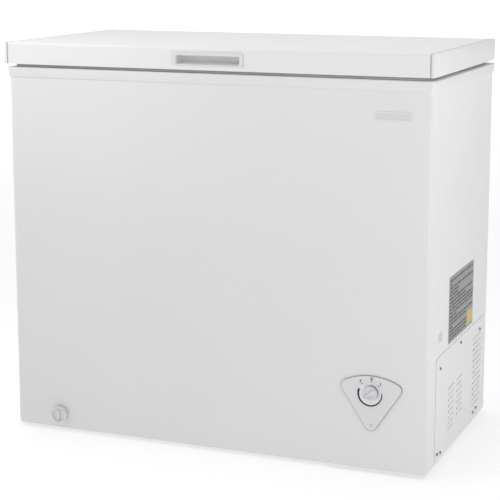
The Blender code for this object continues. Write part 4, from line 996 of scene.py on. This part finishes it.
# ---- drain ----
def drain_cap():
    """Dial of the drain: notched skirt that reaches back to the sheet, round rim, grip in a recess."""
    low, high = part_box("drain_dial")
    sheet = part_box("cabinet_wrap")[0].y
    front = sheet - low.y - 0.001
    profile = [(0.0, 0.0018), (0.0066, 0.0018), (0.0066, 0.0036), (0.0160, 0.0036), (0.0162, 0.0008)]
    profile += [(0.0166, 0.0004), (0.0186, 0.0004), (0.0190, 0.0009)]
    face = [(0.0190, 0.0026), (0.0186, 0.0011), (0.0177, 0.0002), (0.0167, 0.0), (0.0156, 0.0003)]
    face += [(0.0147, 0.0013), (0.0141, 0.0034), (0.0130, 0.0047), (0.0, 0.0042)]
    profile += [(r, front - sunk) for r, sunk in face]
    body = built("dial_body", lathe(profile, 96), DIAL_PLASTIC, sharp=50.0)
    notches, notch = 24, 0.0006
    for v in body.data.vertices:
        r = v.co.xy.length
        if r > 0.0180:
            a = math.atan2(v.co.y, v.co.x)
            v.co.xy *= 1 - notch / r * max(0.0, math.cos(a * notches)) ** 2
    bar = plate("dial_bar", [stadium(-0.0102, 0.0102, 0.0, 0.0058)], 0.0054, 0.0012, DIAL_PLASTIC)
    placed(bar, QUARTER_TURN, (0.0, 0.0, front - 0.0031))
    cap = joined("drain_cap", [body, bar])
    placed(cap, FRONT, ((low.x + high.x) / 2, sheet, (low.z + high.z) / 2))
    return settle(cap, "drain_dial", "drain_dial_plastic", "drain_dial")


# ---- lid ----
RECESS_HALF, RECESS_LOW, RECESS_HIGH = 0.0695, 0.8154, 0.8332  # of the mouth of the grip
LID_TONGUE = 0.0075  # how far the end strips reach under the painted sheet


def lid_sheet():
    """Painted sheet bent over front, top and back, with the opening for the handle."""
    low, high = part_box("lid_skin")
    bend, steps, margin = 0.005, 8, 0.0022
    levels = [low.z, RECESS_LOW - margin, RECESS_HIGH + margin]
    path = [(low.y, z) for z in levels]
    path += arc(low.y + bend, high.z - bend, bend, 180, 90, steps)
    path += arc(high.y - bend, high.z - bend, bend, 90, 0, steps)
    path.append((high.y, low.z))
    columns = [low.x, -RECESS_HALF - margin, RECESS_HALF + margin, high.x]
    bm = bmesh.new()
    rows = [[bm.verts.new((x, y, z)) for y, z in path] for x in columns]
    for i in range(len(columns) - 1):
        for j in range(len(path) - 1):
            if (i, j) != (1, 1):  # the opening
                bm.faces.new((rows[i][j], rows[i + 1][j], rows[i + 1][j + 1], rows[i][j + 1]))
    sheet = thick(built("lid_sheet", bm, LID_STEEL, recalc=False), 0.0008)
    return settle(eased(sheet, 0.00025, 2, 60.0), "lid", "white_painted_steel", "lid_skin")


def lid_ends():
    """Moulded strips: round corners, a shadow groove at the painted sheet, a tongue that reaches under it."""
    tray_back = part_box("lid_pan")[1].z + 0.0004
    corner, top_r, groove_front, groove_top, steps = 0.004, 0.0012, 0.0026, 0.0010, 8
    for side, s in (("left", -1), ("right", 1)):
        node = f"lid_end_cap_{side}"
        low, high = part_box(node)
        width = high.x - low.x
        inner = low.x if s > 0 else high.x
        profile = [(-LID_TONGUE, groove_front, groove_top), (0.0015, groove_front, groove_top)]
        profile += [(0.0016, 0.0005, 0.0004), (0.0021, 0.0, 0.0)]
        for i in range(steps + 1):
            a = math.radians(90 * i / steps)
            t = width - corner + corner * math.sin(a)
            over = max(0.0, t - (width - top_r))
            profile.append((t, corner * (1 - math.cos(a)), top_r - math.sqrt(max(top_r**2 - over**2, 0.0))))
        rings = []
        for t, y_in, z_in in profile:
            bottom = max(low.z + z_in, tray_back) if t < 0 else low.z + z_in
            outline = footprint((low.y + y_in, bottom), (high.y - y_in, high.z - z_in), 0.0009, 3)
            rings.append([(inner + s * t, y, z) for y, z in outline])
        cap = built(f"lid_end_{side}", loft(rings), TRIM_PLASTIC, sharp=40.0)
        settle(cap, "lid", "lid_trim_plastic", node)


def handle_scoop():
    """Finger grip: a flat frame round a pocket that narrows and climbs towards its back."""
    low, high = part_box("handle_pocket")
    face, rim_back, rise = low.y, low.y + 0.0014, 0.004
    frame_low, frame_high = Vector((-high.x, low.z)), high.xz
    if frame_high.y - frame_low.y > 0.0292:  # the pocket itself may climb past the frame
        frame_high.y = frame_low.y + 0.029

    def rim(inset, y, radius):
        return at_depth(footprint(frame_low, frame_high, radius, grow=-inset), y)

    def mouth(narrow, up_low, up_high, y, radius):
        half = RECESS_HALF - narrow
        return at_depth(footprint((-half, RECESS_LOW + up_low), (half, RECESS_HIGH + up_high), radius), y)

    rings = [rim(0.0, rim_back, 0.003), rim(0.0, face + 0.0007, 0.003)]
    rings += [rim(0.0002, face + 0.0002, 0.0028), rim(0.0008, face, 0.0022)]
    for grow, back, radius in ((0.0010, 0.0, 0.0038), (0.0003, 0.0003, 0.0036), (0.0, 0.0010, 0.0035)):
        rings.append(mouth(-grow, -grow, grow, face + back, radius))
    depth = high.y - rim_back - 0.002
    for share, narrow in ((0.30, 0.0008), (0.60, 0.0018), (0.85, 0.0030), (0.95, 0.0040)):
        rings.append(mouth(narrow, rise * share, rise * share * 0.5, rim_back + depth * share, 0.0035))
    rings.append(mouth(0.0062, rise + 0.0012, rise * 0.5 - 0.0012, rim_back + depth, 0.0030))
    # The whole grip is a darker grey than the trim, as painted shade for the pocket.
    scoop = built("handle_scoop", loft(rings), SHADED_HANDLE_PLASTIC, sharp=60.0)
    bm = bmesh.new()
    bm.from_mesh(scoop.data)
    at_back = [f for f in bm.faces if abs(f.calc_center_median().y - rim_back) < 1e-5]
    behind = max(at_back, key=lambda f: f.calc_area())
    bmesh.ops.delete(bm, geom=[behind], context="FACES_ONLY")
    bmesh.ops.recalc_face_normals(bm, faces=bm.faces)
    if next(f for f in bm.faces if f.calc_center_median().y < face + 1e-5).normal.y > 0:
        bmesh.ops.reverse_faces(bm, faces=bm.faces)
    bm.to_mesh(scoop.data)
    bm.free()
    return settle(thick(scoop, 0.0010), "lid", "handle_plastic", "handle_pocket")


def lid_tray():
    """Inner moulding: gasket flange, steep wall, shallow tray with a field embossed in its middle."""
    low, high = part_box("lid_pan")
    flange = high.z - 0.0014
    depth, margin, relief = flange - low.z, 0.0880, 0.0012
    mouth = Vector((high.x - margin, (high.y - low.y) / 2 - margin))
    rings = [at_height(footprint((-high.x, low.y), high, 0.001), flange)]
    rings.append(at_height(footprint(-mouth, mouth, 0.020, grow=0.004), flange))
    wall = rounded([(0.004, 0.0), (0.0, 0.0), (-0.0015, -depth), (-0.012, -depth)], 0.0040, 5)
    for grow, drop in wall[1:]:
        rings.append(at_height(footprint(-mouth, mouth, 0.018 + grow, grow=grow), flange + drop))
    field = rounded([(-0.040, -depth), (-0.043, -depth - relief), (-0.070, -depth - relief)], 0.0015, 3)
    for grow, drop in field:
        rings.append(at_height(footprint(-mouth, mouth, 0.014, grow=grow), flange + drop))
    bm = loft(rings, capped=False)
    bm.faces.new(list(bm.verts)[-len(rings[0]) :])
    bmesh.ops.recalc_face_normals(bm, faces=bm.faces)
    if sum(f.normal.z * f.calc_area() for f in bm.faces) > 0:
        bmesh.ops.reverse_faces(bm, faces=bm.faces)
    tray = built("lid_tray", bm, TRAY_PLASTIC, sharp=60.0, recalc=False)
    return settle(thick(tray, 0.0013), "lid", "white_plastic", "lid_pan")


def door_seal():
    """Vinyl seal: a folded bellows over a magnet chamber, all the way round."""
    low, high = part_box("lid_gasket")
    tall = high.z - low.z
    shape = [(0.0010, 1.00), (0.0000, 0.92), (0.0016, 0.76), (0.0002, 0.62), (0.0018, 0.50), (0.0000, 0.36)]
    shape += [(0.0002, 0.10), (0.0012, 0.00), (0.0128, 0.00), (0.0138, 0.10), (0.0140, 0.36), (0.0122, 0.50)]
    shape += [(0.0138, 0.62), (0.0124, 0.76), (0.0140, 0.92), (0.0130, 1.00)]
    rings = []
    for inset, share in shape:
        outline = footprint(low, high, max(0.014 - inset, 0.0008), grow=-inset)
        rings.append(at_height(outline, low.z + tall * share))
    seal = built("door_seal", loft(rings, closed=True), VINYL, sharp=50.0)
    return settle(seal, "lid", "gasket_vinyl", "lid_gasket")


# ---- hinges ----
def hinges():
    """Bracket, leaf and pin with eased edges, a round-wire spring, and rivets that hold the bracket."""
    for side in ("left", "right"):
        refined(f"hinge_bracket_{side}", ZINC, "cabinet", "galvanised_steel", 0.0004)
        refined(f"hinge_leaf_{side}", ZINC, "lid", "galvanised_steel", 0.0004)
        returned(f"hinge_pin_{side}", BRIGHT_STEEL, "cabinet", "galvanised_steel", SIDE, 0.0005, 40)
        hinge_coil(side)
        hinge_rivets(side)


def hinge_coil(side):
    """A torsion spring: six turns round the pin between two straight legs that point down."""
    pin = centre(f"hinge_pin_{side}")
    wire, coil, turns, per_turn = 0.0008, 0.0046, 6, 24
    start, end = pin.x + 0.0038, pin.x + 0.0170
    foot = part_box(f"hinge_spring_{side}")[0].z + 0.001
    route = [(start, pin.y + coil, foot), (start, pin.y + coil, (foot + pin.z) / 2)]
    for i in range(turns * per_turn + 1):
        a = 2 * math.pi * i / per_turn
        x = start + (end - start) * i / (turns * per_turn)
        route.append((x, pin.y + coil * math.cos(a), pin.z + coil * math.sin(a)))
    route += [(end, pin.y + coil, (foot + pin.z) / 2), (end, pin.y + coil, foot)]
    spring = wires(f"hinge_coil_{side}", [route], wire, BRIGHT_STEEL)
    settle(spring, "cabinet", "galvanised_steel", f"hinge_spring_{side}")


def hinge_rivets(side):
    """Four round heads on the bracket's plate."""
    middle = centre(f"hinge_pin_{side}").x
    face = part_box(f"hinge_bracket_{side}")[0].y + 0.0020
    head = rounded([(0.0, 0.0018), (0.0026, 0.0016), (0.0040, 0.0), (0.0, 0.0)], 0.0008)
    rivets = []
    for z in (0.702, 0.738):
        for x in (middle - 0.011, middle + 0.011):
            rivets.append(placed(built("rivet", lathe(head, 24), BRIGHT_STEEL), BACK, (x, face, z)))
    settle(joined(f"hinge_rivets_{side}", rivets), "cabinet", "galvanised_steel")


# ---- basket ----
def wire_basket():
    """Hanging basket of dipped wire: a stout rim, U-shaped wires both ways, rings round it."""
    low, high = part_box("storage_basket")
    stout, fine, corner = 0.0024, 0.0014, 0.018
    wall_y, sit_y = 0.172 - stout, high.y - stout
    x0, x1, z0 = low.x + stout, high.x - stout, low.z + fine
    rim_z = high.z - stout - 0.0008

    def ring(grow, z, radius):
        return at_height(footprint((x0, -wall_y), (x1, wall_y), radius, grow=grow), z)

    rims = [at_height(footprint((x0, -sit_y), (x1, sit_y), 0.010), rim_z), ring(-0.004, z0 + 0.045, 0.018)]
    frame_wires = wires("basket_rim", rims, stout, WIRE, sides=12, closed=(0, 1))
    routes = []
    columns, rows = 13, 17
    for i in range(columns):
        x = x0 + 0.012 + (x1 - x0 - 0.024) * i / (columns - 1)
        arm = [(x, -sit_y + 0.002, rim_z - stout), (x, -wall_y + 0.001, rim_z - stout - 0.001)]
        route = arm + [(x, -wall_y + 0.006, z0 + fine), (x, wall_y - 0.006, z0 + fine)]
        route += [(x, -y, z) for x, y, z in arm[::-1]]
        routes.append(rounded(route, corner, 6))
    floor_z = z0 + 3 * fine
    for i in range(rows):
        y = -wall_y + 0.020 + (2 * wall_y - 0.040) * i / (rows - 1)
        route = [(x0, y, rim_z), (x0 + 0.005, y, floor_z), (x1 - 0.005, y, floor_z), (x1, y, rim_z)]
        routes.append(rounded(route, corner, 6))
    rings = [ring(0.003 * (share - 1), z0 + (rim_z - z0) * share, 0.016) for share in (0.35, 0.60, 0.82)]
    closed = range(len(routes), len(routes) + len(rings))
    grid = wires("basket_grid", routes + rings, fine, WIRE, closed=closed)
    basket = joined("wire_basket", [frame_wires, grid])
    basket.data.shade_smooth()
    return settle(basket, "storage_basket", "basket_wire", "storage_basket")


# ---- machine compartment ----
def motor_compressor():
    """Hermetic shell with its weld flange, on a footplate."""
    middle = centre("compressor")
    profile = [(0.0, 0.1729), (0.020, 0.1719), (0.038, 0.1642), (0.050, 0.1460), (0.0535, 0.1240)]
    profile += [(0.054, 0.1018), (0.058, 0.1009), (0.058, 0.0970), (0.054, 0.0961), (0.054, 0.0548)]
    profile += [(0.050, 0.0380), (0.040, 0.0231), (0.020, 0.0180), (0.0, 0.0174)]
    shell = built("shell", lathe(rounded(profile, 0.006, 3), 72), BLACK_STEEL, sharp=50.0)
    oval = Matrix.Diagonal((1.0, 1.22, 1.0))
    placed(shell, oval, (middle.x, middle.y, 0.0))
    lug, reach = Vector((0.048, 0.085)), 0.016
    outline = footprint(-lug, lug, 0.012, grow=reach)
    holes = [circle(sx * lug.x, sy * lug.y, 0.0072) for sx in (-1, 1) for sy in (-1, 1)]
    footplate = plate("footplate", [outline, *holes], 0.0028, 0.0004, BLACK_STEEL)
    placed(footplate, UP, (middle.x, middle.y, centre("compressor_mount_front_inner").z + 0.0012))
    compressor = joined("motor_compressor", [shell, footplate])
    return settle(compressor, "cabinet", "black_painted_steel", "compressor")


def machine_bay():
    """The machine compartment's sheet and all that is in it, with the cooling circuit's tubes."""
    refined("machine_bay_sheet", ZINC, "cabinet", "galvanised_steel", 0.0003)
    motor_compressor()
    for place in ("front_inner", "front_outer", "rear_inner", "rear_outer"):
        returned(f"compressor_mount_{place}", RUBBER, "cabinet", "black_rubber")
    refined("starter_box", BLACK_PLASTIC, "cabinet", "black_plastic", 0.0012, 3)
    returned("filter_drier", COPPER, "cabinet", "copper_tube", ease=0.003)
    for tube in ("discharge_line", "suction_line", "capillary_tube", "condenser_coil", "thermostat_probe"):
        smooth_tube(tube, COPPER, "cabinet", "copper_tube")
    smooth_tube("evaporator_coil", ALUMINIUM, "cabinet", "aluminium_tube")


def small_parts():
    """Pieces that keep their plain CAD shape, with eased edges or more facets."""
    refined("back_panel", WHITE_STEEL, "cabinet", "white_painted_steel", 0.0003)
    refined("base_pan", ZINC, "cabinet", "galvanised_steel", 0.0003)
    refined("thermostat_body", ZINC, "cabinet", "galvanised_steel", 0.0008)
    refined("drain_elbow", WHITE_PLASTIC, "cabinet", "white_plastic", 0.0003)
    for end in ("front", "rear"):
        for side in ("left", "right"):
            returned(f"foot_{end}_{side}", BLACK_PLASTIC, "cabinet", "black_plastic", ease=0.0008)
    returned("power_cord_gland", BLACK_PLASTIC, "cabinet", "black_plastic", FRONT)
    returned("power_lamp", LENS, "cabinet", "lamp_lens", FRONT, 0.0004)
    returned("drain_sleeve", WHITE_PLASTIC, "cabinet", "white_plastic", FRONT, 0.0004)
    returned("drain_spout", WHITE_PLASTIC, "drain_spout", "white_plastic", FRONT, 0.0004)
    returned("floor_drain_plug", RUBBER, "floor_drain_plug", "black_rubber")


def insulation():
    """The foam in cabinet and lid, with room for the round edges of the sheets and mouldings round it."""
    step_x, step_top = STEP_EDGE
    bm, room = welded("cabinet_foam"), 0.003
    for v in bm.verts:
        if abs(v.co.x - step_x) < room and abs(v.co.z - step_top) < room:
            v.co.x += room
            v.co.z -= room
    settle(built("cabinet_foam_fine", bm, FOAM), "cabinet", "insulating_foam", "cabinet_foam")
    bm = welded("lid_foam")
    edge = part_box("lid_skin")[1].x - LID_TONGUE
    rim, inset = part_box("lid_pan")[1].z + 0.002, 0.007
    for v in bm.verts:
        v.co.x = max(-edge, min(edge, v.co.x))
        if abs(v.co.x) < edge - 0.05 and v.co.z < rim:  # the ring round the tray
            v.co.x -= math.copysign(inset, v.co.x)
            v.co.y -= math.copysign(inset, v.co.y)
    settle(built("lid_foam_fine", bm, FOAM), "lid", "insulating_foam", "lid_foam")


# ---- studio ----
def area_light(name, place, target, size, power, size_y=None):
    data = bpy.data.lights.new(name, "AREA")
    data.shape = "RECTANGLE"
    data.size = size
    data.size_y = size_y or size
    data.energy = power
    lamp = linked(name, data)
    lamp.location = place
    lamp.rotation_mode = "QUATERNION"
    lamp.rotation_quaternion = (Vector(target) - Vector(place)).to_track_quat("-Z", "Y")


def studio():
    """Pale floor that runs on into white, soft boxes above, and surroundings brightest at rear left."""
    floor = Surface("studio_floor", (0.50, 0.50, 0.50), 0.7)
    floor.tint(floor.noise(0.8), 0.004)
    floor.shader.inputs["Emission Color"].default_value = (1.0, 1.0, 1.0, 1.0)
    away = floor.node("ShaderNodeVectorMath", {0: floor.place}, operation="LENGTH").outputs["Value"]
    floor.tree.links.new(floor.between(away, 0.585, 0.82, 2.0, 9.0), floor.shader.inputs["Emission Strength"])
    bm = bmesh.new()
    bmesh.ops.create_circle(bm, cap_ends=True, segments=96, radius=30.0)
    built("studio_floor", bm, floor.material)
    world = bpy.data.worlds.new("studio")
    world.use_nodes = True
    tree = world.node_tree
    towards = tree.nodes.new("ShaderNodeVectorMath")
    towards.operation = "DOT_PRODUCT"
    towards.inputs[1].default_value = (-0.9, 0.45, 0.0)
    tree.links.new(tree.nodes.new("ShaderNodeTexCoord").outputs["Generated"], towards.inputs[0])
    light = tree.nodes.new("ShaderNodeMapRange")
    tree.links.new(towards.outputs["Value"], light.inputs["Value"])
    for socket, value in (("From Min", -0.5), ("From Max", 0.6), ("To Min", 0.26), ("To Max", 0.93)):
        light.inputs[socket].default_value = value
    seen = tree.nodes.new("ShaderNodeMix")  # what is seen directly is plain white
    seen.inputs["B"].default_value = 1.0
    tree.links.new(tree.nodes.new("ShaderNodeLightPath").outputs["Is Camera Ray"], seen.inputs["Factor"])
    tree.links.new(light.outputs["Result"], seen.inputs["A"])
    background = tree.nodes["Background"]
    background.inputs["Color"].default_value = (1.0, 1.0, 1.0, 1.0)
    tree.links.new(seen.outputs["Result"], background.inputs["Strength"])
    bpy.context.scene.world = world
    area_light("overhead", (0.1, 0.1, 2.9), (0.05, 0.0, 0.8), 1.2, 11.0)
    area_light("front_left", (-0.55, -0.80, 1.35), (-0.38, -0.25, 0.75), 0.5, 2.6, size_y=0.3)
    area_light("front_right", (1.1, -1.7, 0.9), (0.2, -0.25, 0.4), 0.5, 1.2)
    area_light("corner_strip", (1.15, -1.15, 1.3), (0.47, -0.25, 0.6), 0.2, 1.1, size_y=0.9)
    area_light("side_strip", (1.35, -0.55, 0.7), (0.47, -0.1, 0.5), 0.3, 3.6, size_y=1.6)
    bpy.context.scene.view_settings.view_transform = "Standard"


def camera():
    """Seen from the front right, a little above the lid, through a long lens."""
    data = bpy.data.cameras.new("camera")
    data.sensor_width = 36.0
    data.lens = 107.84
    data.shift_y = -0.08
    obj = linked("camera", data)
    obj.location = (1.2131, -3.0195, 1.0591)
    obj.rotation_euler = (math.radians(90 - 10.152), 0.0, math.radians(22.065))
    bpy.context.scene.camera = obj


camera()
cabinet_shell()
collar_frame()
liner_tub()
vent_plate()
cover_screws()
name_badge()
rating_plate()
controls()
temperature_knob()
drain_cap()
lid_sheet()
lid_ends()
handle_scoop()
lid_tray()
door_seal()
hinges()
wire_basket()
machine_bay()
small_parts()
insulation()
studio()
